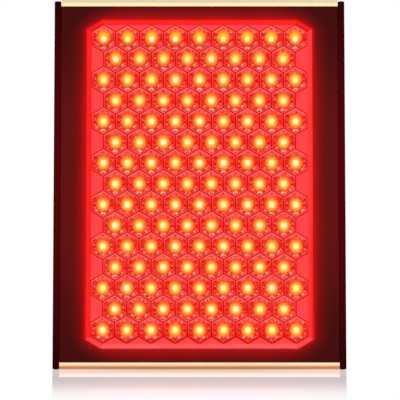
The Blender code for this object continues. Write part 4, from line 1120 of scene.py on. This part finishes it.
# ---------------------------------------------------------------- finishes of the rest
powder = Nodes("powder_coat_black")
m = powder
pebble = m.voronoi(m.place(), 1400.0, "SMOOTH_F1")
fleck = m.noise(m.place(), 3200.0, 2.0)
broad = m.noise(m.place(), 18.0, 3.0)
skin_height = m.math("ADD", m.math("MULTIPLY", pebble, 0.8), m.math("MULTIPLY", fleck, 0.3))
m.set(Base_Color=m.mix(m.smooth(m.math("ADD", m.math("MULTIPLY", fleck, 0.5),
                                       m.math("MULTIPLY", broad, 0.5)), 0.35, 0.65),
                       (0.0060, 0.0056, 0.0060, 1), (0.0110, 0.0104, 0.0110, 1)),
      Roughness=m.span(broad, 0.3, 0.7, 0.38, 0.50), Specular_IOR_Level=0.24)
m.bump(skin_height, 0.00006)

moulded = finish("moulded_plastic_black", (0.0150, 0.0150, 0.0158), 0.42, specular=0.40,
                 grain=2400.0, depth=0.00003)
blade_plastic = finish("fan_plastic_black", (0.0180, 0.0180, 0.0190), 0.34, specular=0.45,
                       grain=1300.0, depth=0.000012)
plated = finish("plated_wire", (0.60, 0.60, 0.62), 0.20, metallic=1.0, grain=700.0,
                depth=0.000006, vary=0.10, rough_vary=0.06)
zinc = finish("zinc_steel", (0.56, 0.57, 0.59), 0.27, metallic=1.0, grain=1600.0,
              depth=0.000006, vary=0.12, rough_vary=0.08)
black_screw = finish("screw_black_oxide", (0.060, 0.058, 0.060), 0.36, metallic=0.75,
                     grain=1700.0, depth=0.000008, vary=0.30)
contact = finish("contact_nickel", (0.68, 0.63, 0.52), 0.26, metallic=1.0, grain=1500.0,
                 depth=0.000005, vary=0.12)
red_rocker_mat = finish("rocker_red", (0.52, 0.010, 0.010), 0.22, specular=0.55, grain=900.0,
                        depth=0.000006, vary=0.14, rough_vary=0.05, coat=0.3)
black_rocker_mat = finish("rocker_black", (0.016, 0.016, 0.017), 0.26, specular=0.50, grain=900.0,
                          depth=0.000006, vary=0.20, rough_vary=0.05)
mark_white = finish("mark_white", (0.78, 0.78, 0.76), 0.50, grain=2000.0, depth=0.000003,
                    vary=0.05)

# ---------------------------------------------------------------- rear cover
def flat_outline(spline_sets, depth):
    """A filled outline with holes, as a closed plate in X and Z between two depths."""
    curve = bpy.data.curves.new("plate_outline", "CURVE")
    curve.dimensions = "2D"
    curve.fill_mode = "BOTH"
    curve.extrude = (depth[1] - depth[0]) / 2 * MM
    for points in spline_sets:
        spline = curve.splines.new("POLY")
        spline.points.add(len(points) - 1)
        for point, (x, z) in zip(spline.points, points):
            point.co = (x * MM, z * MM, 0.0, 1.0)
        spline.use_cyclic_u = True
    drawn = bpy.data.objects.new("plate_outline", curve)
    scene.collection.objects.link(drawn)
    bpy.context.view_layer.update()
    mesh = bpy.data.meshes.new_from_object(
        drawn.evaluated_get(bpy.context.evaluated_depsgraph_get()))
    bpy.data.objects.remove(drawn, do_unlink=True)
    bpy.data.curves.remove(curve)
    # local X to X, local Y to Z, local Z to -Y
    mesh.transform(Matrix.Translation((0, (depth[0] + depth[1]) / 2 * MM, 0))
                   @ Matrix.Rotation(pi / 2, 4, "X"))
    bm = bmesh.new()
    bm.from_mesh(mesh)
    bmesh.ops.remove_doubles(bm, verts=bm.verts, dist=0.000002)
    bmesh.ops.recalc_face_normals(bm, faces=bm.faces)
    bm.to_mesh(mesh)
    bm.free()
    mesh.materials.clear()
    return mesh


def circle(cx, cz, radius, count=48):
    return [(cx + radius * cos(a), cz + radius * sin(a)) for a in even(count)]


def slot_outline(cx, cz, half_w, half_h):
    return [(cx + x, cz + z) for x, z in rounded(half_w, half_h, min(half_w, half_h), 8)]


# ---------------------------------------------------------------- end caps
def loose(skin):
    """The skin as a plain object, to cut or be cut."""
    bmesh.ops.recalc_face_normals(skin.bm, faces=skin.bm.faces)
    mesh = bpy.data.meshes.new(skin.name)
    skin.bm.to_mesh(mesh)
    skin.bm.free()
    obj = bpy.data.objects.new(skin.name, mesh)
    scene.collection.objects.link(obj)
    return obj


def carved(solid, *tools):
    """The solid's mesh with each tool taken out of it in turn."""
    objects = [loose(skin) for skin in (solid, *tools)]
    for tool in objects[1:]:
        cut = objects[0].modifiers.new("cut", "BOOLEAN")
        cut.operation, cut.solver, cut.object = "DIFFERENCE", "EXACT", tool
    bpy.context.view_layer.update()
    mesh = bpy.data.meshes.new_from_object(
        objects[0].evaluated_get(bpy.context.evaluated_depsgraph_get()))
    for obj in objects:
        used = obj.data
        bpy.data.objects.remove(obj, do_unlink=True)
        bpy.data.meshes.remove(used)
    return mesh


def crisp(mesh):
    """Keeps the shading of faces square to an axis apart from that of the rounds beside them."""
    bm = bmesh.new()
    bm.from_mesh(mesh)
    for edge in bm.edges:
        square = [max(abs(c) for c in face.normal) > 0.99999 for face in edge.link_faces]
        if any(square) and not all(square):
            edge.smooth = False
    bm.to_mesh(mesh)
    bm.free()


def quarter(y, z, into_y, into_z, radius, steps):
    arc = []
    for k in range(steps + 1):
        a = k / steps * pi / 2
        arc.append((y + into_y * radius * (1 - cos(a)), z + into_z * radius * (1 - sin(a))))
    return arc


for end, z0, out in (("top", 332.9, 1), ("bottom", 0.0, -1)):
    z1 = z0 + 6.5
    face = z1 if out > 0 else z0
    round_high, round_low = (1.9, 0.6) if out > 0 else (0.6, 1.9)
    line = (quarter(27.5, z0, -1, 1, 0.6, 4)[::-1] + quarter(27.5, z1, -1, -1, 0.6, 4)
            + quarter(-29.0, z1, 1, -1, round_high, 10)[::-1]
            + quarter(-29.0, z0, 1, 1, round_low, 10))
    solid = Skin("cap_solid").loops([[(x, y, z) for y, z in line] for x in (-127.2, 127.2)])
    reach_z = (z0 - 1.0, z0 + 5.0) if out > 0 else (1.5, 7.5)
    pocket = Skin("cap_pocket").loops([[(x, y - 0.75, z) for x, y in rounded(125.7, 26.75, 1.2, 4)]
                                       for z in reach_z])
    holes = Skin("cap_holes")
    for x in (-108.0, 108.0):
        holes.loft([(1.8, face - out * 5.0), (1.8, face - out * 1.8), (4.0, face + out * 0.4)],
                   even(32), lambda a, b, d, x=x: (x + a, 18.5 + b, d))
    if out > 0:
        for k in range(17):
            holes.loops([[(x, y, z) for x, y in slot_outline((k - 8) * 12.0, 0.0, 1.8, 9.0)]
                         for z in (z0 + 3.0, z1 + 1.5)])
    cap = Skin(end + "_end_cap_formed")
    cap.bm.from_mesh(carved(solid, pocket, holes))
    cap = cap.object(gold, slot="champagne_anodised", replaces=(end + "_end_cap",))
    crisp(cap.data)

FAN_X, FAN_Z, FAN_HOLE = 58.0, 215.0, 35.75
INLET_X, INLET_Z, SWITCH_Z = -80.0, 40.0, 40.0
SWITCH_X = {"red": 60.0, "infrared": 88.0}
COVER_HALF, COVER_Z0, COVER_Z1 = 127.2, 6.8, 332.6

holes = [rounded(COVER_HALF, (COVER_Z1 - COVER_Z0) / 2, 0.9, 3)]
holes = [[(x, z + (COVER_Z1 + COVER_Z0) / 2) for x, z in holes[0]]]
for s in (-1, 1):
    holes.append(circle(s * FAN_X, FAN_Z, 37.5, 72))
    for dx in (-FAN_HOLE, FAN_HOLE):
        for dz in (-FAN_HOLE, FAN_HOLE):
            holes.append(circle(s * FAN_X + dx, FAN_Z + dz, 2.0, 16))
    holes.append(circle(s * 100.0, 312.0, 3.4, 20))
    holes.append(circle(INLET_X + s * 20.0, INLET_Z, 1.9, 16))
holes.append([(INLET_X + x, INLET_Z + z) for x, z in rounded(14.1, 10.4, 1.0, 4)])
for x0 in SWITCH_X.values():
    holes.append([(x0 + x, SWITCH_Z + z) for x, z in rounded(6.8, 9.8, 0.8, 4)])
for k in range(13):
    holes.append(slot_outline((k - 6) * 11.0, 288.0, 1.7, 13.0))
for k in range(5):
    holes.append(slot_outline((k - 2) * 11.0, 40.0, 1.7, 13.0))
plate = flat_outline(holes, (25.3, 26.5))
cover = Skin("rear_cover_formed")
cover.bm.from_mesh(plate)
# the folded edges, tucked under the rails and the end caps
mid_z, half_z = (COVER_Z0 + COVER_Z1) / 2, (COVER_Z1 - COVER_Z0) / 2
edge_out, edge_in = rounded(COVER_HALF, half_z, 0.9, 3), rounded(COVER_HALF - 1.2, half_z - 1.2,
                                                                 0.6, 3)
flange = [[(x, y, z + mid_z) for x, z in line] for line, y in
          ((edge_out, 12.0), (edge_out, 25.28), (edge_in, 25.28), (edge_in, 12.0))]
cover.loops(flange, closed=True)
cover.object(powder, slot="black_paint", replaces=("rear_cover",))

# ---------------------------------------------------------------- fans
def blade(skin, cx, turn):
    """One curved fan blade: its pitch falls and its chord grows towards the tip."""
    stations, chordwise = 10, 9
    loops = []
    for i in range(stations):
        t = i / (stations - 1)
        r = 14.5 + (36.0 - 14.5) * t
        pitch = radians(50.0 - 21.0 * t)
        chord = min(13.6 + 9.0 * t, 10.9 / sin(pitch))
        sweep = radians(15.0) * t ** 1.6
        line = []
        for face in (1, -1):
            for k in range(chordwise):
                s = -0.5 + k / (chordwise - 1)
                s = s if face > 0 else -s
                thick = 0.25 + 0.55 * sqrt(max(0.0, 1 - (2 * s) ** 2)) * (1 - 0.35 * t)
                lift = 1.3 * (1 - (2 * s) ** 2) + face * thick
                along = s * chord * cos(pitch) - lift * sin(pitch)
                axial = s * chord * sin(pitch) + lift * cos(pitch)
                a = turn + sweep + along / r
                line.append((cx + r * sin(a), 18.3 + axial, FAN_Z + r * cos(a)))
        loops.append(line)
    skin.loops(loops)


for side, s in (("left", -1), ("right", 1)):
    cx = s * FAN_X
    rotor = Skin("fan_rotor_%s_curved" % side)
    rotor.loft([(0, 23.85), (10.6, 23.85), (11.0, 24.25), (13.6, 24.25), (14.5, 24.0),
                (15.0, 23.3), (15.0, 12.6), (13.6, 12.6), (13.6, 22.6), (1.2, 22.6), (1.2, 12.0),
                (0, 12.0)], even(48), rearward(cx, FAN_Z))
    for k in range(7):
        blade(rotor, cx, k * 2 * pi / 7)
    rotor.object(blade_plastic, sharp=40.0, body=side + "_rotor", slot="fan_plastic",
                 replaces=("fan_rotor_" + side,))

    guard = Skin("fan_guard_%s_wire" % side)
    for r in (9.0, 16.0, 23.0, 30.0, 37.0):
        guard.tube([(cx + r * cos(a), 28.45, FAN_Z + r * sin(a)) for a in even(72)], 0.65,
                   closed=True)
    for k in range(4):
        a = pi / 4 + k * pi / 2
        eye, eye_r = FAN_HOLE * sqrt(2), 2.75
        line = [(8.6 + (eye - eye_r - 8.6) * n / 8, 0.0) for n in range(8)]
        line += [(eye - eye_r * cos(b), -eye_r * sin(b)) for b in
                 [radians(8 + 338 * n / 24) for n in range(25)]]
        guard.tube([(cx + x * cos(a) - y * sin(a), 27.25, FAN_Z + x * sin(a) + y * cos(a))
                    for x, y in line], 0.68)
    guard.object(plated, sharp=60.0, slot="steel", replaces=("fan_guard_" + side,))

# ---------------------------------------------------------------- fasteners
CROSS_HALF, CROSS_ARM = 0.42, 1.55
cross, cross_at = cross_reach(CROSS_HALF, CROSS_ARM), cross_angles(CROSS_HALF, CROSS_ARM)


def shrunk(value, factor):
    return lambda a: value(a) * factor


def pan_screw(name, put, foot, head_r, head_h, shank_r, tip, finish_of, slot):
    """A pan head with a cross recess: foot is the head's underside, along the axis."""
    top = foot + head_h
    screw = Skin(name + "_pan")
    screw.loft([(0, top - 1.15), (shrunk(cross, 0.55), top - 1.0), (cross, top - 0.02),
                (head_r * 0.60, top), (head_r * 0.80, top - head_h * 0.12),
                (head_r * 0.94, top - head_h * 0.36), (head_r, top - head_h * 0.68),
                (head_r, foot), (shank_r, foot), (shank_r, tip + 0.6), (shank_r * 0.6, tip),
                (0, tip)], cross_at, put)
    screw.object(finish_of, slot=slot, replaces=(name,))


def flush_screw(name, put, face, tip, finish_of, slot):
    """A countersunk head with a cross recess: face is the head's flat face."""
    screw = Skin(name + "_flush")
    down = -1 if tip < face else 1
    screw.loft([(0, face + down * 1.1), (shrunk(cross, 0.55), face + down * 0.95),
                (cross, face + down * 0.02), (2.45, face), (2.7, face + down * 0.12),
                (1.45, face + down * 1.35), (1.45, tip - down * 0.6), (0.9, tip), (0, tip)],
               cross_at, put)
    screw.object(finish_of, slot=slot, replaces=(name,))


for side, s in (("left", -1), ("right", 1)):
    n = 0
    for dz in (-FAN_HOLE, FAN_HOLE):
        for dx in (-FAN_HOLE, FAN_HOLE):
            n += 1
            pan_screw("fan_screw_%s_%d" % (side, n), rearward(s * FAN_X + dx, FAN_Z + dz), 27.98,
                      3.4, 1.97, 1.6, 16.8, zinc, "steel")
    for where, y0, z0 in (("front_lower", -20.5, 30.0), ("front_upper", -20.5, 308.0),
                          ("rear_lower", 20.0, 30.0), ("rear_upper", 20.0, 308.0)):
        flush_screw("side_screw_%s_%s" % (side, where),
                    lambda a, b, d, y0=y0, z0=z0, s=s: (s * d, y0 + a, z0 + b), 133.15, 124.4,
                    black_screw, "black_screw")
    flush_screw("top_cap_screw_" + side, lambda a, b, d, s=s: (s * 108.0 + a, 18.5 + b, d),
                339.05, 329.2, zinc, "steel")
    flush_screw("bottom_cap_screw_" + side, lambda a, b, d, s=s: (s * 108.0 + a, 18.5 + b, d),
                0.35, 10.2, zinc, "steel")
    pan_screw("inlet_screw_" + side, rearward(INLET_X + s * 20.0, INLET_Z), 29.02, 2.6, 0.95,
              1.5, 19.4, black_screw, "black_screw")
    # a button head with a six-sided socket
    bolt = Skin("hanger_bolt_%s_button" % side)
    six = reach([(2.6 / cos(pi / 6) * cos(a), 2.6 / cos(pi / 6) * sin(a)) for a in even(6)])
    bolt.loft([(0, 27.4), (six, 27.7), (six, 29.45), (lambda a: six(a) + 0.15, 29.6),
               (5.2, 29.6), (5.8, 29.42), (6.25, 28.9), (6.5, 28.1), (6.5, 26.53), (3.0, 26.53),
               (3.0, 16.4), (2.3, 15.8), (0, 15.8)], even(48), rearward(s * 100.0, 312.0))
    bolt.object(zinc, slot="steel", replaces=("hanger_bolt_" + side,))

# ---------------------------------------------------------------- mains inlet
socket = round_corners([(12.1, 8.3 - 4.0), (8.1, 8.3), (-8.1, 8.3), (-12.1, 8.3 - 4.0),
                        (-12.1, -8.3), (12.1, -8.3)], 1.0)
plate_line, housing_line = rounded(25.0, 11.2, 3.2), rounded(13.75, 10.0, 0.8)
around_inlet = directions(socket, plate_line, housing_line)
inside, outside, case = reach(socket), reach(plate_line), reach(housing_line)


def grown(value, by):
    return lambda a: value(a) + by


inlet = Skin("power_inlet_moulded")
inlet.loft([(inside, 12.0), (inside, 28.5), (grown(inside, 0.45), 29.0),
            (grown(inside, 1.15), 29.0), (grown(inside, 1.3), 28.72), (grown(inside, 1.7), 28.72),
            (grown(inside, 1.85), 29.0), (grown(outside, -0.7), 29.0), (grown(outside, -0.2), 28.8),
            (outside, 28.3), (outside, 26.53), (case, 26.53), (case, 8.0)], around_inlet,
           rearward(INLET_X, INLET_Z))
inlet.object(moulded, sharp=28.0, slot="black_plastic", replaces=("power_inlet",))
for pin, dx, dz in (("line", -7.0, -2.0), ("neutral", 7.0, -2.0), ("earth", 0.0, 2.0)):
    flat = rounded(1.0, 2.0, 0.35, 3)
    prong = Skin("inlet_pin_%s_blade" % pin)
    line = reach(flat)
    prong.loft([(line, 12.05), (line, 23.7), (grown(line, -0.22), 24.3), (grown(line, -0.5), 24.5)],
               directions(flat), rearward(INLET_X + dx, INLET_Z + dz))
    prong.object(contact, slot="plated_brass", replaces=("inlet_pin_" + pin,))

# ---------------------------------------------------------------- rocker switches
for kind, x0 in SWITCH_X.items():
    bezel, well, body = rounded(7.5, 10.5, 1.2), rounded(5.2, 8.9, 0.4), rounded(6.4, 9.6, 0.4)
    b, w_, c = reach(bezel), reach(well), reach(body)
    frame_of = Skin("switch_body_%s_moulded" % kind)
    frame_of.loft([(w_, 17.0), (w_, 27.6), (grown(w_, 0.3), 27.9), (grown(b, -0.8), 27.9),
                   (grown(b, -0.25), 27.68), (b, 27.25), (b, 26.53), (c, 26.53), (c, 8.0)],
                  directions(bezel, well, body), rearward(x0, SWITCH_Z))
    frame_of.object(moulded, sharp=28.0, slot="black_plastic", replaces=("switch_body_" + kind,))

    def surface(z):
        return 1.9 + 1.4 * (z / 8.0) ** 2

    tilt = Matrix.Translation((x0, 25.6, SWITCH_Z)) @ Matrix.Rotation(radians(8.0), 4, "X")
    side_view = [(8.0 * (1 - 2 * k / 20), surface(8.0 * (1 - 2 * k / 20))) for k in range(21)]
    side_view += [(-7.75, 0.2), (-7.4, -1.5), (-4.0, -6.0), (4.0, -6.0), (7.4, -1.5), (7.75, 0.2)]
    middle_y = 0.6

    def section(inset):
        """The rocker's outline, drawn in a little for its rounded ends."""
        points = []
        for z, y in side_view:
            d = Vector((z, y - middle_y))
            d = d * (1 - inset / d.length)
            points.append((d.x, d.y + middle_y))
        return points

    rocker = Skin("rocker_%s_curved" % kind)
    rocker.loops([[tilt @ Vector((x, y, z)) for z, y in section(inset)] for x, inset in
                  ((-4.9, 0.45), (-4.78, 0.16), (-4.5, 0.0), (4.5, 0.0), (4.78, 0.16),
                   (4.9, 0.45))])
    for end in (-1, 1):
        rocker.loops([[tilt @ Vector((end * d, 1.0 * cos(a), 1.0 * sin(a))) for a in even(16)]
                      for d in (4.6, 5.14)])
    # marks: a bar on the half that switches on, a ring on the other
    bar_line = [(0.38, 6.3), (-0.38, 6.3), (-0.38, 3.1), (0.38, 3.1)]
    tops = [tilt @ Vector((x, surface(z) + 0.07, z)) for x, z in bar_line]
    lows = [tilt @ Vector((x, surface(z) - 0.30, z)) for x, z in bar_line]
    rocker.loops([lows, tops], slot=1)
    ring_of = []
    for radius, up_by in ((1.75, -0.30), (1.75, 0.07), (1.15, 0.07), (1.15, -0.30)):
        ring_of.append([tilt @ Vector((radius * cos(a), surface(-4.7 + radius * sin(a)) + up_by,
                                       -4.7 + radius * sin(a))) for a in even(28)])
    rocker.loops(ring_of, closed=True, slot=1)
    rocker.object(red_rocker_mat if kind == "red" else black_rocker_mat, mark_white, sharp=35.0,
                  body=kind + "_rocker", slot="red_rocker" if kind == "red" else "black_plastic",
                  replaces=("rocker_" + kind,))

# ---------------------------------------------------------------- inside the case
aluminium = finish("extruded_aluminium", (0.60, 0.61, 0.63), 0.34, metallic=1.0, grain=1.0,
                   depth=0.000008, vary=0.12, stretch=(2600.0, 2600.0, 14.0))
wear(nodes["heat_sink"], aluminium)
rubber = finish("gasket_silicone", (0.030, 0.029, 0.030), 0.70, specular=0.25, grain=1600.0,
                depth=0.00002)
wear(nodes["lens_gasket"], rubber)
wear(nodes["thermal_pad"], finish("thermal_sheet", (0.34, 0.40, 0.46), 0.85, specular=0.2,
                                  grain=1200.0, depth=0.00003, vary=0.12))
for name in ("standoff_lower_left", "standoff_lower_right", "standoff_upper_left",
             "standoff_upper_right"):
    wear(nodes[name], zinc)
for side in ("left", "right"):
    wear(nodes["fan_frame_" + side], moulded)

board = Nodes("led_board_white")
m = board
x, y, z = m.split(m.place())
print_grain = m.noise(m.place(), 1800.0, 2.0)
track = m.smooth(m.math("ABSOLUTE", m.math("SUBTRACT", m.math("FRACT", m.math(
    "DIVIDE", m.math("SUBTRACT", z, LATTICE_Z * MM), ROW_STEP * MM)), 0.5)), 0.42, 0.47)
m.set(Base_Color=m.mix(m.math("MULTIPLY", track, 0.35),
                       m.mix(print_grain, (0.72, 0.72, 0.70, 1), (0.80, 0.80, 0.78, 1)),
                       (0.62, 0.60, 0.50, 1)),
      Roughness=m.span(print_grain, 0.3, 0.7, 0.38, 0.50), Specular_IOR_Level=0.45)
m.bump(print_grain, 0.00001)
wear(nodes["led_board"], board)

driver = Nodes("driver_board")
m = driver
x, y, z = m.split(m.place())
grid = m.new("ShaderNodeTexBrick")
m.put(grid.inputs["Vector"], m.new("ShaderNodeMapping").outputs[0])
mapping = grid.inputs["Vector"].links[0].from_node
m.put(mapping.inputs["Vector"], m.place())
mapping.inputs["Rotation"].default_value = (pi / 2, 0.0, 0.0)
grid.inputs["Scale"].default_value = 120.0
grid.inputs["Color1"].default_value = (0.010, 0.110, 0.045, 1)
grid.inputs["Color2"].default_value = (0.012, 0.135, 0.055, 1)
grid.inputs["Mortar"].default_value = (0.030, 0.230, 0.090, 1)
grid.inputs["Mortar Size"].default_value = 0.06
parts_fine = m.noise(m.place(), 1500.0, 2.0)
fitted = m.mix(m.smooth(parts_fine, 0.3, 0.7), (0.020, 0.020, 0.024, 1), (0.040, 0.040, 0.046, 1))
wound = m.smooth(m.math("ABSOLUTE", m.math("SUBTRACT", z, 0.113)), 0.0118, 0.0112)
fitted = m.mix(m.math("MULTIPLY", wound, m.smooth(y, 0.0200, 0.0190)), fitted,
               (0.62, 0.42, 0.06, 1))
m.set(Base_Color=m.mix(m.smooth(y, 0.0203, 0.0201), grid.outputs["Color"], fitted),
      Roughness=m.span(parts_fine, 0.3, 0.7, 0.34, 0.48), Specular_IOR_Level=0.45)
m.bump(parts_fine, 0.00001)
for kind in ("red", "infrared"):
    wear(nodes["led_driver_" + kind], driver)

for name, colour in (("mains_wiring", (0.020, 0.020, 0.022)), ("switch_wiring", (0.30, 0.10, 0.03)),
                     ("led_wiring", (0.50, 0.020, 0.018)), ("fan_lead_left", (0.55, 0.40, 0.03)),
                     ("fan_lead_right", (0.55, 0.40, 0.03))):
    wear(nodes[name], finish(name + "_sleeve", colour, 0.42, specular=0.4, grain=900.0,
                             depth=0.00001, vary=0.12))

# ---------------------------------------------------------------- floor, light
bm = bmesh.new()
bmesh.ops.create_grid(bm, x_segments=1, y_segments=1, size=14.0)
floor_mesh = bpy.data.meshes.new("floor")
bm.to_mesh(floor_mesh)
bm.free()
floor = bpy.data.objects.new("floor", floor_mesh)
floor.location = (0.0, 0.0, -0.0002)
scene.collection.objects.link(floor)
floor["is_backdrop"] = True
m = Nodes("floor_white")
x, y, z = m.split(m.place())
gap_x = m.math("MAXIMUM", m.math("SUBTRACT", m.math("ABSOLUTE", x), 0.1335), 0.0)
gap_y = m.math("MAXIMUM", m.math("SUBTRACT", m.math("ABSOLUTE", y), 0.030), 0.0)
gap = m.math("SQRT", m.math("ADD", m.math("MULTIPLY", gap_x, gap_x),
                            m.math("MULTIPLY", gap_y, gap_y)))
fade = m.new("ShaderNodeFloatCurve")
curve = fade.mapping.curves[0]
for place, value in ((0.0, 0.47), (0.15, 0.46), (0.30, 0.51), (0.40, 0.50), (0.49, 0.45),
                     (0.58, 0.37), (0.68, 0.23), (0.75, 0.14), (0.815, 0.09), (0.875, 0.05),
                     (0.93, 0.018), (1.0, 0.0)):
    if place in (0.0, 1.0):
        curve.points[0 if place == 0.0 else -1].location = (place, value)
    else:
        curve.points.new(place, value)
fade.mapping.update()
m.put(fade.inputs["Value"], m.math("DIVIDE", gap, 0.60, clamp=True))
graze = m.new("ShaderNodeLayerWeight")
graze.inputs["Blend"].default_value = 0.5
sheen = m.math("POWER", graze.outputs["Facing"], 3.0)
white = m.new("ShaderNodeEmission")
# painted light: the floor near the panel is painted a little redder, for the panel's red light
lit_floor = m.mix(m.smooth(gap, 0.55, 0.35), (1, 1, 1), (1.11, 1.0, 1.0))
# painted shadow and reflection: a warm brown shade is painted on the floor under the panel, most in
# front of it and towards the middle
under = m.math("MULTIPLY", m.smooth(gap, 0.060, 0.0), m.smooth(gap_x, 0.006, 0.0))
under = m.math("MULTIPLY", under, m.math("SUBTRACT", 1.0, m.math(
    "MULTIPLY", m.smooth(m.math("ABSOLUTE", x), 0.030, 0.132), 0.72)))
under = m.math("MULTIPLY", under, m.math("MULTIPLY_ADD", m.smooth(y, 0.02, -0.02), 0.65, 0.35))
m.put(white.inputs["Color"], m.mix(under, lit_floor, (0.94, 0.78, 0.64)))
mirror = m.new("ShaderNodeBsdfGlossy")
mirror.inputs["Roughness"].default_value = 0.03
mirror.inputs["Color"].default_value = (1, 1, 1, 1)
both = m.new("ShaderNodeMixShader")
m.put(both.inputs[0], m.math("MULTIPLY", fade.outputs[0], sheen))
m.tree.links.new(white.outputs[0], both.inputs[1])
m.tree.links.new(mirror.outputs[0], both.inputs[2])
m.tree.links.new(both.outputs[0], m.output.inputs["Surface"])
m.tree.nodes.remove(m.shader)
floor_mesh.materials.append(m.material)

world = bpy.data.worlds.new("studio")
world.use_nodes = True
scene.world = world
w_nodes = Nodes("world", world.node_tree)
path = w_nodes.new("ShaderNodeLightPath")
towards = w_nodes.split(w_nodes.new("ShaderNodeTexCoord").outputs["Generated"])
# what shiny parts mirror: bright in front and behind, dimmer at the sides and overhead
front = w_nodes.math("ABSOLUTE", towards[1])
around = w_nodes.span(w_nodes.smooth(front, 0.35, 0.85), 0.0, 1.0, 0.34, 1.0)
dome = w_nodes.span(towards[2], 0.50, 0.98, 1.0, 0.80)
mirrored = w_nodes.math("MULTIPLY", around, dome)
mirrored = w_nodes.math("MAXIMUM", mirrored, w_nodes.smooth(towards[2], 0.80, 0.95))
soft = w_nodes.new("ShaderNodeMix", data_type="FLOAT")
w_nodes.put(soft.inputs[0], path.outputs["Is Glossy Ray"])
soft.inputs[2].default_value = 0.55
w_nodes.put(soft.inputs[3], mirrored)
seen = w_nodes.new("ShaderNodeMix", data_type="FLOAT")
w_nodes.put(seen.inputs[0], path.outputs["Is Camera Ray"])
w_nodes.put(seen.inputs[2], soft.outputs[0])
seen.inputs[3].default_value = 1.0
background = world.node_tree.nodes["Background"]
background.inputs["Color"].default_value = (1, 1, 1, 1)
w_nodes.put(background.inputs["Strength"], seen.outputs[0])


def soft_light(name, location, target, size, watts):
    data = bpy.data.lights.new(name, "AREA")
    data.shape = "RECTANGLE"
    data.size, data.size_y = size
    data.energy = watts
    light = bpy.data.objects.new(name, data)
    light.location = location
    light.rotation_euler = (Vector(target) - Vector(location)).to_track_quat("-Z", "Y").to_euler()
    scene.collection.objects.link(light)
    return light


soft_light("key", (-1.1, -1.5, 1.5), (0, 0, 0.17), (1.0, 1.0), 14.0)
soft_light("fill", (1.3, -1.2, 0.9), (0, 0, 0.17), (1.2, 1.2), 7.0)
soft_light("rear_key", (1.1, 1.5, 1.3), (0, 0, 0.17), (1.0, 1.0), 16.0)
soft_light("rear_fill", (-1.3, 1.2, 0.8), (0, 0, 0.17), (1.2, 1.2), 8.0)
for light in [o for o in scene.objects if o.type == "LIGHT"]:
    light.visible_camera = False
    light.visible_glossy = False

low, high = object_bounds()
